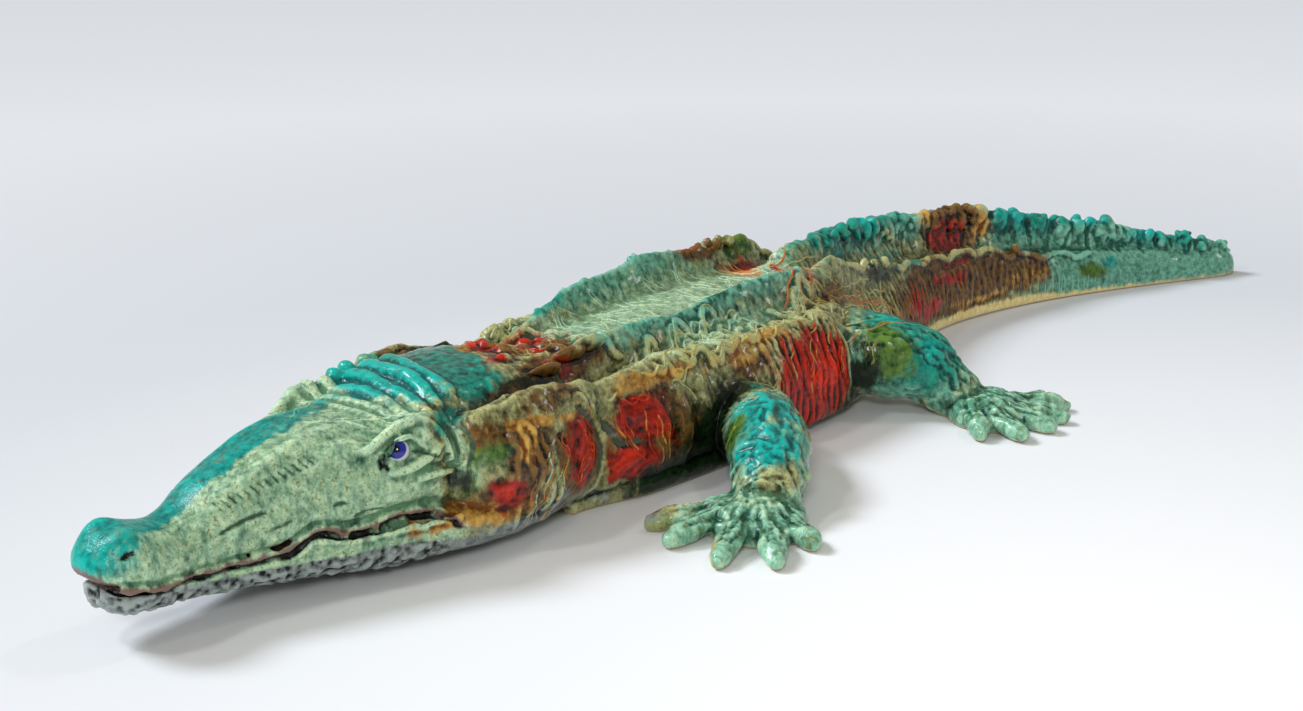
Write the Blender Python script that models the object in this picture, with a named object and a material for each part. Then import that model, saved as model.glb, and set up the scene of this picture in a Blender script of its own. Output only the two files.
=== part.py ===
# A hand-built clay crocodile, glazed and fired as one piece. It lies flat with its head a little off
# the table, its feet splayed and its tail swept in a slow curve to its own left.
# The head points to -Y, +X is the animal's left side, +Z is up and the table is z = 0. Metres.
import math
import random

import bmesh
import bpy
import numpy as np

for thing in list(bpy.data.objects):
    bpy.data.objects.remove(thing, do_unlink=True)

# Sizes of the whole piece
SNOUT_AT = -0.413           # nose tip, measured along the spine from the middle of the trunk
TAIL_AT = 0.612             # tail tip, measured the same way
VOXEL = 0.0021              # clay grain used when the limbs are worked into the body
FACES_WANTED = 9300         # facets kept in the finished solid
NUB_PITCH = 0.0205          # one pinched nub to each fingertip
EYE_RADIUS = 0.0062
CENTRE = (-0.0013, 0.0861)     # middle of the box round the piece, brought to the origin at the end

# Heading of the spine in degrees, against the distance along it
HEADING = [(-0.42, 0), (-0.14, 0), (-0.08, -3), (-0.02, 0), (0.06, 0), (0.13, -6), (0.20, -8), (0.26, -2),
           (0.33, 11), (0.40, 20), (0.48, 27), (0.62, 34)]

# The long profiles: height of the back, height of the lower edge, half width, height of the widest line
BACK = [(-0.413, 0.046), (-0.409, 0.052), (-0.401, 0.057), (-0.392, 0.0585), (-0.382, 0.0560), (-0.372, 0.0540),
        (-0.362, 0.0570), (-0.350, 0.0650), (-0.338, 0.0700), (-0.315, 0.0765), (-0.290, 0.0800), (-0.265, 0.0790),
        (-0.245, 0.0800), (-0.215, 0.0880), (-0.180, 0.0880), (-0.150, 0.0830), (-0.120, 0.0740), (-0.060, 0.0770),
        (0.000, 0.0800), (0.060, 0.0790), (0.110, 0.0760), (0.140, 0.0700), (0.180, 0.0640), (0.250, 0.0570),
        (0.320, 0.0500), (0.400, 0.0400), (0.480, 0.0310), (0.560, 0.0240), (0.597, 0.0215), (0.612, 0.0150)]
LOWER = [(-0.413, 0.040), (-0.405, 0.034), (-0.385, 0.030), (-0.350, 0.0290), (-0.325, 0.0285), (-0.306, 0.0355),
         (-0.290, 0.0315), (-0.265, 0.0345), (-0.245, 0.0305), (-0.228, 0.0140), (-0.205, 0.0030), (-0.150, 0.0010),
         (-0.100, -0.0030), (0.612, -0.0040)]
HALF = [(-0.413, 0.0070), (-0.409, 0.0135), (-0.401, 0.0190), (-0.392, 0.0222), (-0.380, 0.0222), (-0.368, 0.0208),
        (-0.350, 0.0235), (-0.325, 0.0290), (-0.300, 0.0365), (-0.280, 0.0430), (-0.262, 0.0470), (-0.245, 0.0490),
        (-0.233, 0.0520), (-0.215, 0.0600), (-0.190, 0.0655), (-0.160, 0.0660), (-0.138, 0.0630), (-0.125, 0.0630),
        (-0.100, 0.0670), (-0.070, 0.0710), (-0.030, 0.0745), (0.020, 0.0775), (0.060, 0.0770), (0.100, 0.0720),
        (0.140, 0.0590), (0.180, 0.0490), (0.250, 0.0400), (0.320, 0.0330), (0.400, 0.0260), (0.480, 0.0205),
        (0.560, 0.0150), (0.597, 0.0115), (0.612, 0.0060)]
WAIST = [(-0.413, 0.40), (-0.390, 0.30), (-0.350, 0.24), (-0.300, 0.24), (-0.260, 0.26), (-0.220, 0.42),
         (-0.180, 0.45), (-0.120, 0.42), (0.000, 0.40), (0.120, 0.35), (0.250, 0.30), (0.612, 0.30)]
ROUND_UPPER = [(-0.413, 2.0), (-0.380, 2.2), (-0.340, 2.2), (-0.290, 2.3), (-0.240, 2.5), (-0.100, 2.4), (0.612, 2.1)]
ROUND_LOWER = [(-0.413, 2.2), (-0.240, 2.6), (-0.100, 3.2), (0.100, 4.5), (0.612, 5.0)]

# Ridges laid along the body: distance from the spine, height, and half thickness of each
LEFT_BACK = {"off": [(-0.16, 0.030), (-0.10, 0.033), (0.08, 0.036), (0.13, 0.030)], "thick": 0.0075,
             "high": [(-0.168, 0.0), (-0.155, 0.003), (-0.120, 0.014), (-0.100, 0.019), (-0.074, 0.017),
                      (-0.035, 0.012), (0.000, 0.015), (0.060, 0.018), (0.100, 0.013), (0.130, 0.0)]}
RIGHT_BACK = {"off": [(-0.16, 0.030), (-0.10, 0.034), (0.08, 0.036), (0.13, 0.030)], "thick": 0.0080,
              "high": [(-0.140, 0.0), (-0.120, 0.003), (-0.098, 0.008), (-0.080, 0.014), (-0.050, 0.021),
                       (-0.010, 0.022), (0.010, 0.026), (0.060, 0.021), (0.100, 0.017), (0.138, 0.0)]}
JOWL = {"off": [(-0.235, 0.048), (-0.205, 0.054), (-0.180, 0.057), (-0.140, 0.056)], "thick": 0.0080,
        "high": [(-0.238, 0.0), (-0.222, 0.005), (-0.195, 0.008), (-0.160, 0.008), (-0.140, 0.004), (-0.130, 0.0)]}
HOLLOW = {"off": [(-0.235, 0.040), (-0.200, 0.043), (-0.130, 0.043), (-0.090, 0.045)], "thick": 0.0060,
          "high": [(-0.236, 0.0), (-0.220, 0.003), (-0.180, 0.005), (-0.130, 0.007), (-0.100, 0.004), (-0.080, 0.0)]}
FLANK = {"off": [(-0.150, 0.049), (-0.100, 0.054), (-0.050, 0.059), (0.000, 0.064), (0.060, 0.064), (0.100, 0.058)],
         "thick": 0.0070,
         "high": [(-0.155, 0.0), (-0.138, 0.010), (-0.100, 0.013), (-0.060, 0.009), (0.000, 0.007), (0.070, 0.006),
                  (0.100, 0.0)]}
BROW = {"off": [(-0.300, 0.029), (-0.280, 0.034), (-0.262, 0.040), (-0.240, 0.040), (-0.222, 0.036)], "thick": 0.0062,
        "high": [(-0.302, 0.0), (-0.288, 0.004), (-0.272, 0.0100), (-0.256, 0.0130), (-0.240, 0.0090), (-0.224, 0.0)]}
TAIL_SIDE = {"off": [(0.100, 0.036), (0.170, 0.030), (0.300, 0.024), (0.420, 0.018), (0.550, 0.011)], "thick": 0.0060,
             "high": [(0.095, 0.0), (0.122, 0.016), (0.170, 0.013), (0.230, 0.009), (0.320, 0.008), (0.420, 0.006),
                      (0.520, 0.004), (0.565, 0.0)]}
CREST = [(0.085, 0.0), (0.110, 0.010), (0.125, 0.018), (0.160, 0.024), (0.220, 0.029), (0.280, 0.027),
         (0.340, 0.031), (0.400, 0.030), (0.450, 0.023), (0.480, 0.024), (0.520, 0.017), (0.560, 0.011),
         (0.595, 0.007), (0.610, 0.0)]

# The lower jaw: a long shallow wedge that stands a finger's width off the table at the chin
JAW_TOP = [(-0.407, 0.0320), (-0.390, 0.0325), (-0.350, 0.0310), (-0.325, 0.0305), (-0.306, 0.0370),
           (-0.290, 0.0340), (-0.250, 0.0340), (-0.200, 0.0300), (-0.150, 0.0200)]
JAW_FLOOR = [(-0.407, 0.0240), (-0.400, 0.0185), (-0.370, 0.0155), (-0.335, 0.0110), (-0.300, 0.0072),
             (-0.260, 0.0030), (-0.200, 0.0008), (-0.150, 0.0008)]
JAW_HALF = [(-0.407, 0.0080), (-0.402, 0.0145), (-0.390, 0.0190), (-0.370, 0.0190), (-0.350, 0.0212),
            (-0.325, 0.0285), (-0.300, 0.0390), (-0.270, 0.0500), (-0.240, 0.0585), (-0.205, 0.0640), (-0.150, 0.0540)]

# Limbs on the animal's left, as seen in front: (across, along, up, radius) from the body to the wrist,
# then the palm and the root and tip of each toe on the table
NEAR_FRONT = {"arm": [(0.038, -0.016, 0.024, 0.0225), (0.074, -0.024, 0.025, 0.0240), (0.103, -0.045, 0.0265, 0.0235),
                      (0.125, -0.072, 0.019, 0.0210), (0.137, -0.092, 0.010, 0.0185)],
              "palm": (0.137, -0.101, 0.030, 0.027),
              "toes": [((0.120, -0.102), (0.095, -0.141)), ((0.126, -0.110), (0.119, -0.153)),
                       ((0.139, -0.113), (0.156, -0.157)), ((0.148, -0.106), (0.180, -0.138)),
                       ((0.150, -0.095), (0.181, -0.106))]}
NEAR_HIND = {"arm": [(0.030, 0.095, 0.036, 0.0270), (0.068, 0.108, 0.035, 0.0265), (0.094, 0.121, 0.030, 0.0240),
                     (0.109, 0.129, 0.019, 0.0190), (0.124, 0.134, 0.007, 0.0155)],
             "palm": (0.142, 0.134, 0.027, 0.027),
             "toes": [((0.135, 0.121), (0.160, 0.093)), ((0.146, 0.122), (0.180, 0.109)),
                      ((0.150, 0.132), (0.186, 0.136)), ((0.149, 0.141), (0.183, 0.158)),
                      ((0.141, 0.147), (0.171, 0.182))]}
# The limbs on the far side lie lower and a little closer in
FAR_FRONT = {"arm": [(0.038, -0.006, 0.028, 0.0230), (0.070, -0.010, 0.026, 0.0230), (0.096, -0.022, 0.023, 0.0210),
                     (0.118, -0.044, 0.018, 0.0190), (0.130, -0.062, 0.011, 0.0170)],
             "palm": (0.132, -0.070, 0.029, 0.026),
             "toes": [((0.117, -0.073), (0.096, -0.110)), ((0.124, -0.080), (0.117, -0.122)),
                      ((0.135, -0.083), (0.150, -0.126)), ((0.144, -0.077), (0.176, -0.108)),
                      ((0.146, -0.066), (0.181, -0.076))]}
FAR_HIND = {"arm": [(0.030, 0.085, 0.034, 0.0260), (0.066, 0.096, 0.033, 0.0255), (0.092, 0.107, 0.029, 0.0230),
                    (0.112, 0.115, 0.020, 0.0190), (0.130, 0.119, 0.012, 0.0160)],
            "palm": (0.140, 0.120, 0.027, 0.026),
            "toes": [((0.133, 0.107), (0.158, 0.080)), ((0.143, 0.108), (0.178, 0.096)),
                     ((0.148, 0.118), (0.188, 0.122)), ((0.147, 0.127), (0.184, 0.145)),
                     ((0.139, 0.133), (0.172, 0.169))]}


def curve(keys, at):
    """A smooth line through (place, value) pairs that never swings past them."""
    places, values = np.array(keys, float).T
    at = np.clip(np.asarray(at, float), places[0], places[-1])
    steps = np.diff(places)
    slopes = np.diff(values) / steps
    product = slopes[:-1] * slopes[1:]
    total = slopes[:-1] + slopes[1:]
    inner = np.where(product > 0, 2 * product / np.where(product > 0, total, 1), 0)
    lean = np.concatenate([[slopes[0]], inner, [slopes[-1]]])
    i = np.clip(np.searchsorted(places, at, side="right") - 1, 0, len(places) - 2)
    u = (at - places[i]) / steps[i]
    return ((2 * u**3 - 3 * u**2 + 1) * values[i] + (u**3 - 2 * u**2 + u) * steps[i] * lean[i]
            + (3 * u**2 - 2 * u**3) * values[i + 1] + (u**3 - u**2) * steps[i] * lean[i + 1])


WALK = np.linspace(SNOUT_AT, TAIL_AT, 500)
TURN = np.radians(curve(HEADING, WALK))
WALK_X = np.concatenate([[0], np.cumsum(np.sin((TURN[1:] + TURN[:-1]) / 2) * np.diff(WALK))])
WALK_Y = SNOUT_AT + np.concatenate([[0], np.cumsum(np.cos((TURN[1:] + TURN[:-1]) / 2) * np.diff(WALK))])


def stand(along, across, up):
    """Put points given along, across and above the spine into the room."""
    turn = np.interp(along, WALK, TURN)
    x = np.interp(along, WALK, WALK_X) + across * np.cos(turn)
    y = np.interp(along, WALK, WALK_Y) - across * np.sin(turn)
    return np.stack(np.broadcast_arrays(x, y, up), axis=-1)


def bump(value, middle, width):
    """A rounded bump of height one."""
    return np.exp(-((value - middle) / width) ** 2)


def ridge(form, along, across):
    """Height of one long ridge over the plain back."""
    first, last = form["high"][0][0], form["high"][-1][0]
    inside = (along > first) & (along < last)
    return np.where(inside, curve(form["high"], along), 0) * bump(across, curve(form["off"], along), form["thick"])


def body_rings(stations, around):
    """Cross-sections of head, trunk and tail: a rounded hide with ridges, brows, folds and jowls."""
    t = np.linspace(SNOUT_AT, TAIL_AT, stations)[:, None]
    angle = np.linspace(-math.pi, math.pi, around, endpoint=False)[None, :]
    side = np.where(angle < 0, -1.0, 1.0)
    angle = np.abs(angle) - math.pi / 2
    half, back, lower = curve(HALF, t), curve(BACK, t), curve(LOWER, t)
    middle = lower + (back - lower) * curve(WAIST, t)
    c, s = np.cos(angle), np.sin(angle)
    upper_power = 2 / curve(ROUND_UPPER, t)
    lower_power = 2 / curve(ROUND_LOWER, t)
    across = half * np.abs(c) ** np.where(s > 0, upper_power, lower_power)
    up = np.where(s > 0, middle + (back - middle) * np.abs(s) ** upper_power,
                  middle - (middle - lower) * np.abs(s) ** lower_power)
    # jowls behind the groove of the jaw, and the thick of the neck behind them
    level = bump(up, 0.040, 0.028)
    across = across + level * (0.007 * bump(t, -0.188, 0.026) + 0.004 * bump(t, -0.090, 0.026)
                               - 0.005 * bump(t, -0.232, 0.007) - 0.003 * bump(t, -0.135, 0.008))
    # eye sockets under the brows and the swelling of the cheek below them
    across = across - 0.006 * bump(t, -0.272, 0.011) * bump(up, 0.067, 0.008)
    across = across + 0.003 * bump(t, -0.268, 0.020) * bump(up, 0.050, 0.008)
    # thick ribs pressed round the flank between the legs, and rolls round the neck
    ribs = bump(t, 0.045, 0.032) * bump(up, 0.040, 0.022)
    across = across + 0.0016 * ribs * np.sin((t - 0.02) * math.tau / 0.0125)
    rolls = bump(t, -0.085, 0.030) * bump(up, 0.040, 0.025)
    across = across + 0.0018 * rolls * np.sin(t * math.tau / 0.021)
    # nostrils: a mound at either side of the nose with a hollow behind its rim
    top = np.clip(3 * s, 0, 1)
    lift = 0.0035 * bump(t, -0.398, 0.008) * bump(across, 0.012, 0.006)
    lift = lift - 0.0045 * bump(t, -0.389, 0.0035) * bump(across, 0.0165, 0.0045)
    # the flat of the snout falls away from an edge on either side
    lift = lift + 0.0025 * bump(t, -0.315, 0.035) * bump(across, 0.019, 0.005)
    # folds pinched across the nape
    for place, height in ((-0.243, 0.0030), (-0.231, 0.0036), (-0.217, 0.0040), (-0.204, 0.0026)):
        lift = lift + height * bump(t - 0.10 * across, place, 0.0036) * bump(across, 0.0, 0.034)
    both = ridge(FLANK, t, across) + ridge(BROW, t, across) + ridge(TAIL_SIDE, t, across)
    both = both + ridge(JOWL, t, across) - ridge(HOLLOW, t, across)
    backs = np.where(side > 0, ridge(LEFT_BACK, t, across), ridge(RIGHT_BACK, t, across))
    crest = np.where((t > 0.086) & (t < 0.609), curve(CREST, t), 0) * bump(across, 0, 0.0040 + 0.10 * half)
    up = up + top * (lift + both + backs + crest)
    return stand(t + 0 * across, side * across, up)


def jaw_rings(stations, around):
    """Cross-sections of the lower jaw and the throat behind it."""
    t = np.linspace(JAW_TOP[0][0], JAW_TOP[-1][0], stations)[:, None]
    angle = np.linspace(-math.pi, math.pi, around, endpoint=False)[None, :]
    half, top, floor = curve(JAW_HALF, t), curve(JAW_TOP, t), curve(JAW_FLOOR, t)
    middle = floor + (top - floor) * 0.65
    c, s = np.cos(angle), np.sin(angle)
    power = 2 / 2.8
    across = half * np.sign(c) * np.abs(c) ** power
    up = np.where(s > 0, middle + (top - middle) * np.abs(s) ** power, middle - (middle - floor) * np.abs(s) ** power)
    return stand(t + 0 * across, across, up)


def limb_rings(path, around, flat=1.0):
    """Round cross-sections along a bent limb given as (x, y, z, radius) rows."""
    points, radii = path[:, :3], path[:, 3]
    forward = np.gradient(points, axis=0)
    forward /= np.linalg.norm(forward, axis=1)[:, None]
    sideways = np.cross(forward, (0, 0, 1.0))
    sideways /= np.linalg.norm(sideways, axis=1)[:, None]
    upward = np.cross(sideways, forward)
    angle = np.linspace(0, 2 * math.pi, around, endpoint=False)[None, :, None]
    reach = radii[:, None, None]
    return points[:, None, :] + reach * (np.cos(angle) * sideways[:, None, :]
                                         + flat * np.sin(angle) * upward[:, None, :])


def bent(rows, count):
    """More rows in between a few, on smooth lines."""
    rows = np.array(rows, float)
    gaps = np.linalg.norm(np.diff(rows[:, :3], axis=0), axis=1)
    far = np.concatenate([[0], np.cumsum(gaps)])
    places = np.linspace(0, far[-1], count)
    return np.stack([curve(list(zip(far, column)), places) for column in rows.T], axis=1)


def ball(middle, reach, turn=0.0):
    """An egg of clay: three half sizes, turned about the upright."""
    rings = np.linspace(0.02, math.pi - 0.02, 14)[:, None]
    angle = np.linspace(0, 2 * math.pi, 18, endpoint=False)[None, :]
    x = reach[0] * np.sin(rings) * np.cos(angle)
    y = reach[1] * np.sin(rings) * np.sin(angle)
    z = reach[2] * np.cos(rings) + 0 * angle
    c, s = math.cos(turn), math.sin(turn)
    return np.stack([middle[0] + c * x + s * y, middle[1] - s * x + c * y, middle[2] + z], axis=-1)


class Clay:
    """Soft clay: closed lumps collected before they are worked into one."""

    def __init__(self):
        self.points, self.faces, self.count = [], [], 0

    def add(self, rings):
        stations, around = rings.shape[:2]
        grid = self.count + np.arange(stations * around).reshape(stations, around)
        turned = np.roll(grid, -1, axis=1)
        self.faces += np.stack([grid[:-1], turned[:-1], turned[1:], grid[1:]], axis=-1).reshape(-1, 4).tolist()
        self.faces.append(grid[0, ::-1].tolist())
        self.faces.append(grid[-1].tolist())
        self.points.append(rings.reshape(-1, 3))
        self.count += stations * around


def add_limb(clay, limb, side):
    """One leg with its palm and five rolled toes."""
    mirror = np.array([side, 1, 1, 1])
    clay.add(limb_rings(bent(limb["arm"], 16) * mirror, 24))
    x, y, wide, long = limb["palm"]
    clay.add(ball((side * x, y, 0.004), (wide, long, 0.0165)))
    for root, tip in limb["toes"]:
        root, tip = np.array(root), np.array(tip)
        rows = [(*(root - 0.2 * (tip - root)), 0.0080, 0.0090), (*(root + 0.25 * (tip - root)), 0.0090, 0.0078),
                (*(root + 0.60 * (tip - root)), 0.0065, 0.0080), (*(root + 0.88 * (tip - root)), 0.0045, 0.0066),
                (*tip, 0.0035, 0.0035)]
        clay.add(limb_rings(bent(rows, 12) * mirror, 14))


def add_nubs(clay, form, side, first, last, size, chance):
    """Nubs pinched up along a ridge, one to each fingertip."""
    along = first
    while along < last:
        across = float(curve(form["off"], along)) * side if form else 0.0
        height = curve(form["high"], along) if form else curve(CREST, along)
        rise = float(curve(BACK, along)) * (0.93 if form else 1.0) + float(height)
        if form is FLANK:
            rise -= 0.016
        grow = size * chance.uniform(0.75, 1.15)
        spot = stand(along, across + chance.uniform(-0.0015, 0.0015), rise - 0.25 * grow)
        clay.add(ball(spot, (0.62 * grow, 0.80 * grow, grow), float(np.interp(along, WALK, TURN))))
        along += NUB_PITCH * chance.uniform(0.82, 1.12)


clay = Clay()
clay.add(body_rings(420, 132))
clay.add(jaw_rings(120, 60))
for side in (1, -1):
    # each eyeball sits proud in its socket under the brow
    clay.add(ball((side * 0.0425, -0.2625, 0.0670), (EYE_RADIUS,) * 3))
add_limb(clay, NEAR_FRONT, 1)
add_limb(clay, NEAR_HIND, 1)
add_limb(clay, FAR_FRONT, -1)
add_limb(clay, FAR_HIND, -1)
fingers = random.Random(7)
add_nubs(clay, LEFT_BACK, 1, -0.110, 0.112, 0.0050, fingers)
add_nubs(clay, RIGHT_BACK, -1, -0.100, 0.118, 0.0062, fingers)
add_nubs(clay, TAIL_SIDE, 1, 0.115, 0.500, 0.0040, fingers)
add_nubs(clay, TAIL_SIDE, -1, 0.115, 0.500, 0.0040, fingers)
add_nubs(clay, None, 1, 0.120, 0.604, 0.0085, fingers)

skin = bpy.data.meshes.new("crocodile")
skin.from_pydata(np.vstack(clay.points).tolist(), [], clay.faces)
crocodile = bpy.data.objects.new("crocodile", skin)
bpy.context.collection.objects.link(crocodile)
bpy.context.view_layer.objects.active = crocodile


def work_in(obj, modifier):
    """Take the shape that a modifier gives and make it the shape of the piece."""
    graph = bpy.context.evaluated_depsgraph_get()
    shaped = bpy.data.meshes.new_from_object(obj.evaluated_get(graph))
    obj.modifiers.remove(modifier)
    obj.data = shaped


# The lumps are worked together into one skin
worked = crocodile.modifiers.new("worked together", "REMESH")
worked.mode = "VOXEL"
worked.voxel_size = VOXEL
work_in(crocodile, worked)

# Air trapped inside is pressed out: only the outer skin stays
mesh = bmesh.new()
mesh.from_mesh(crocodile.data)
mesh.verts.ensure_lookup_table()
unseen = set(mesh.verts)
skins = []
while unseen:
    group = {unseen.pop()}
    edge = list(group)
    while edge:
        here = edge.pop()
        for link in here.link_edges:
            other = link.other_vert(here)
            if other in unseen:
                unseen.discard(other)
                group.add(other)
                edge.append(other)
    skins.append(group)
skins.sort(key=len, reverse=True)
inner = [vert for group in skins[1:] for vert in group]
bmesh.ops.delete(mesh, geom=inner, context="VERTS")
bmesh.ops.triangulate(mesh, faces=mesh.faces[:])
for vert in mesh.verts:
    vert.co.x -= CENTRE[0]
    vert.co.y -= CENTRE[1]
mesh.to_mesh(crocodile.data)
mesh.free()

# Facets are let go where the clay runs smooth and kept where it turns
eased = crocodile.modifiers.new("eased", "DECIMATE")
eased.decimate_type = "COLLAPSE"
eased.ratio = FACES_WANTED / len(crocodile.data.polygons)
work_in(crocodile, eased)

# The underside is cut flat on the table
mesh = bmesh.new()
bmesh.ops.create_cube(mesh, size=1.0)
for vert in mesh.verts:
    vert.co.x *= 1.0
    vert.co.y *= 2.0
    vert.co.z = vert.co.z * 0.1 - 0.05
board = bpy.data.meshes.new("board")
mesh.to_mesh(board)
mesh.free()
table = bpy.data.objects.new("table", board)
bpy.context.collection.objects.link(table)
cut = crocodile.modifiers.new("cut flat", "BOOLEAN")
cut.operation = "DIFFERENCE"
cut.solver = "EXACT"
cut.object = table
work_in(crocodile, cut)
bpy.data.objects.remove(table, do_unlink=True)

glaze = bpy.data.materials.new("glazed clay")
glaze.use_nodes = True
shader = glaze.node_tree.nodes["Principled BSDF"]
shader.inputs["Base Color"].default_value = (0.10, 0.36, 0.31, 1)
shader.inputs["Roughness"].default_value = 0.22
crocodile.data.materials.clear()
crocodile.data.materials.append(glaze)
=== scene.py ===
import math
import random

import bmesh
import bpy
import numpy as np
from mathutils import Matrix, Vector
from mathutils.bvhtree import BVHTree
from mathutils.kdtree import KDTree


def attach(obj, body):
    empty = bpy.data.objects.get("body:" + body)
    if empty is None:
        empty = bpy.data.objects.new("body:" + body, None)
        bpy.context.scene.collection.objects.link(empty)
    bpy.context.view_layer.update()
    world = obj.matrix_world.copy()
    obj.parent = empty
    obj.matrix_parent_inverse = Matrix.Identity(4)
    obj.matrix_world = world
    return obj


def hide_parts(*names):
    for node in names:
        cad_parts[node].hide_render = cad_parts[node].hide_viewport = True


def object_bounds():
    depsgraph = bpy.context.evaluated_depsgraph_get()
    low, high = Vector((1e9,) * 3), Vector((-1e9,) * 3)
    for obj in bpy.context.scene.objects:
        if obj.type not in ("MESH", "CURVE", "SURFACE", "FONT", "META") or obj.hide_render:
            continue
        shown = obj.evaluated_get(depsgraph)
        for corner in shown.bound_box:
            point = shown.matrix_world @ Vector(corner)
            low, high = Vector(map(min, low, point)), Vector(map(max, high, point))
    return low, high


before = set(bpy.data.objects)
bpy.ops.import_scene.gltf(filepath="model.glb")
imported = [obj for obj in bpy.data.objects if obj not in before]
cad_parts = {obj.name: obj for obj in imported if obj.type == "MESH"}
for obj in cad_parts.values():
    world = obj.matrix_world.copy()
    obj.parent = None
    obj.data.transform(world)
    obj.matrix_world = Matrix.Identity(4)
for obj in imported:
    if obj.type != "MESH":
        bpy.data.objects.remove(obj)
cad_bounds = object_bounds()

# The animal's own lines. The maker works along the spine: every place on the hide is given by how far
# along it is, how far across from the spine and how high over the table. The head points to -Y, the
# animal's left is +X, and the tail swings to its left.
SNOUT_AT, TAIL_AT = -0.413, 0.612
CENTRE = np.array([-0.0013, 0.0861, 0.0])
HEADING = [(-0.42, 0), (-0.14, 0), (-0.08, -3), (-0.02, 0), (0.06, 0), (0.13, -6), (0.20, -8), (0.26, -2),
           (0.33, 11), (0.40, 20), (0.48, 27), (0.62, 34)]


def curve(keys, at):
    """A smooth line through (place, value) pairs that never swings past them."""
    places, values = np.array(keys, float).T
    at = np.clip(np.asarray(at, float), places[0], places[-1])
    steps = np.diff(places)
    slopes = np.diff(values) / steps
    product = slopes[:-1] * slopes[1:]
    total = slopes[:-1] + slopes[1:]
    inner = np.where(product > 0, 2 * product / np.where(product > 0, total, 1), 0)
    lean = np.concatenate([[slopes[0]], inner, [slopes[-1]]])
    i = np.clip(np.searchsorted(places, at, side="right") - 1, 0, len(places) - 2)
    u = (at - places[i]) / steps[i]
    return ((2 * u**3 - 3 * u**2 + 1) * values[i] + (u**3 - 2 * u**2 + u) * steps[i] * lean[i]
            + (3 * u**2 - 2 * u**3) * values[i + 1] + (u**3 - u**2) * steps[i] * lean[i + 1])


def bump(value, middle, width):
    """A rounded bump of height one."""
    return np.exp(-((value - middle) / width) ** 2)


def ramp(value, low, high):
    """Rises from nought at low to one at high."""
    u = np.clip((value - low) / (high - low), 0, 1)
    return u * u * (3 - 2 * u)


def mm(*rows):
    """Rows of sizes that are written in millimetres, turned into metres."""
    return [tuple(round(value / 1000, 6) for value in row) for row in rows]


WALK = np.linspace(SNOUT_AT, TAIL_AT, 500)
TURN = np.radians(curve(HEADING, WALK))
WALK_X = np.concatenate([[0], np.cumsum(np.sin((TURN[1:] + TURN[:-1]) / 2) * np.diff(WALK))])
WALK_Y = SNOUT_AT + np.concatenate([[0], np.cumsum(np.cos((TURN[1:] + TURN[:-1]) / 2) * np.diff(WALK))])


def stand(along, across, up):
    """Put points given along, across and above the spine into the room."""
    turn = np.interp(along, WALK, TURN)
    x = np.interp(along, WALK, WALK_X) + across * np.cos(turn)
    y = np.interp(along, WALK, WALK_Y) - across * np.sin(turn)
    return np.stack(np.broadcast_arrays(x, y, up), axis=-1) - CENTRE


def unbend(points):
    """The reverse of stand: along, across and up for points in the room."""
    spots = points + CENTRE
    along = spots[:, 1].copy()
    for _ in range(8):
        turn = np.interp(along, WALK, TURN)
        dx = spots[:, 0] - np.interp(along, WALK, WALK_X)
        dy = spots[:, 1] - np.interp(along, WALK, WALK_Y)
        along = along + dx * np.sin(turn) + dy * np.cos(turn)
    turn = np.interp(along, WALK, TURN)
    dx = spots[:, 0] - np.interp(along, WALK, WALK_X)
    dy = spots[:, 1] - np.interp(along, WALK, WALK_Y)
    return along, dx * np.cos(turn) - dy * np.sin(turn), spots[:, 2]


# Head, trunk and tail. The bulk of the animal is built hollow from slabs and coils over its long
# profiles: height of the back, of the lower edge, half width, height of the widest line, and how
# square the section is above and below. Everything on it is pinched or laid on while it is soft.
# A ridge has a thickness, a place off the spine and a height, the last two changing along it.
BACK = mm((-413, 46), (-409, 52), (-401, 57), (-392, 58.5), (-382, 56), (-372, 54), (-362, 57),
          (-350, 65), (-338, 70), (-315, 76.5), (-290, 80), (-265, 79), (-245, 80), (-215, 88),
          (-180, 88), (-150, 83), (-120, 74), (-60, 77), (0, 80), (60, 79), (110, 76), (140, 70),
          (180, 64), (250, 57), (320, 50), (400, 40), (480, 31), (560, 24), (597, 21.5), (612, 15))
LOWER = mm((-413, 40), (-405, 34), (-385, 30), (-350, 29), (-325, 28.5), (-306, 35.5), (-290, 31.5),
           (-265, 34.5), (-245, 30.5), (-228, 14), (-205, 3), (-150, 1), (-100, -3), (612, -4))
HALF = mm((-413, 7), (-409, 13.5), (-401, 19), (-392, 22.2), (-380, 22.2), (-368, 20.8), (-350, 23.5),
          (-325, 29), (-300, 36.5), (-280, 43), (-262, 47), (-245, 49), (-233, 52), (-215, 60),
          (-190, 65.5), (-160, 66), (-138, 63), (-125, 63), (-100, 67), (-70, 71), (-30, 74.5),
          (20, 77.5), (60, 77), (100, 72), (140, 59), (180, 49), (250, 40), (320, 33), (400, 26),
          (480, 20.5), (560, 15), (597, 11.5), (612, 6))
WAIST = [(-0.413, 0.40), (-0.390, 0.30), (-0.350, 0.24), (-0.300, 0.24), (-0.260, 0.26), (-0.220, 0.42),
         (-0.180, 0.45), (-0.120, 0.42), (0.000, 0.40), (0.120, 0.35), (0.250, 0.30), (0.612, 0.30)]
ROUND_UPPER = [(-0.413, 2.0), (-0.380, 2.2), (-0.340, 2.2), (-0.290, 2.3), (-0.240, 2.5), (-0.100, 2.4),
               (0.612, 2.1)]
ROUND_LOWER = [(-0.413, 2.2), (-0.240, 2.6), (-0.100, 3.2), (0.100, 4.5), (0.612, 5.0)]
LEFT_BACK = {"thick": 0.007,
             "off": mm((-160, 30), (-100, 33), (80, 36), (130, 30)),
             "high": mm((-168, 0), (-155, 3), (-120, 13), (-100, 18), (-74, 16), (-35, 11), (0, 14),
                        (60, 17), (100, 12), (130, 0))}
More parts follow.
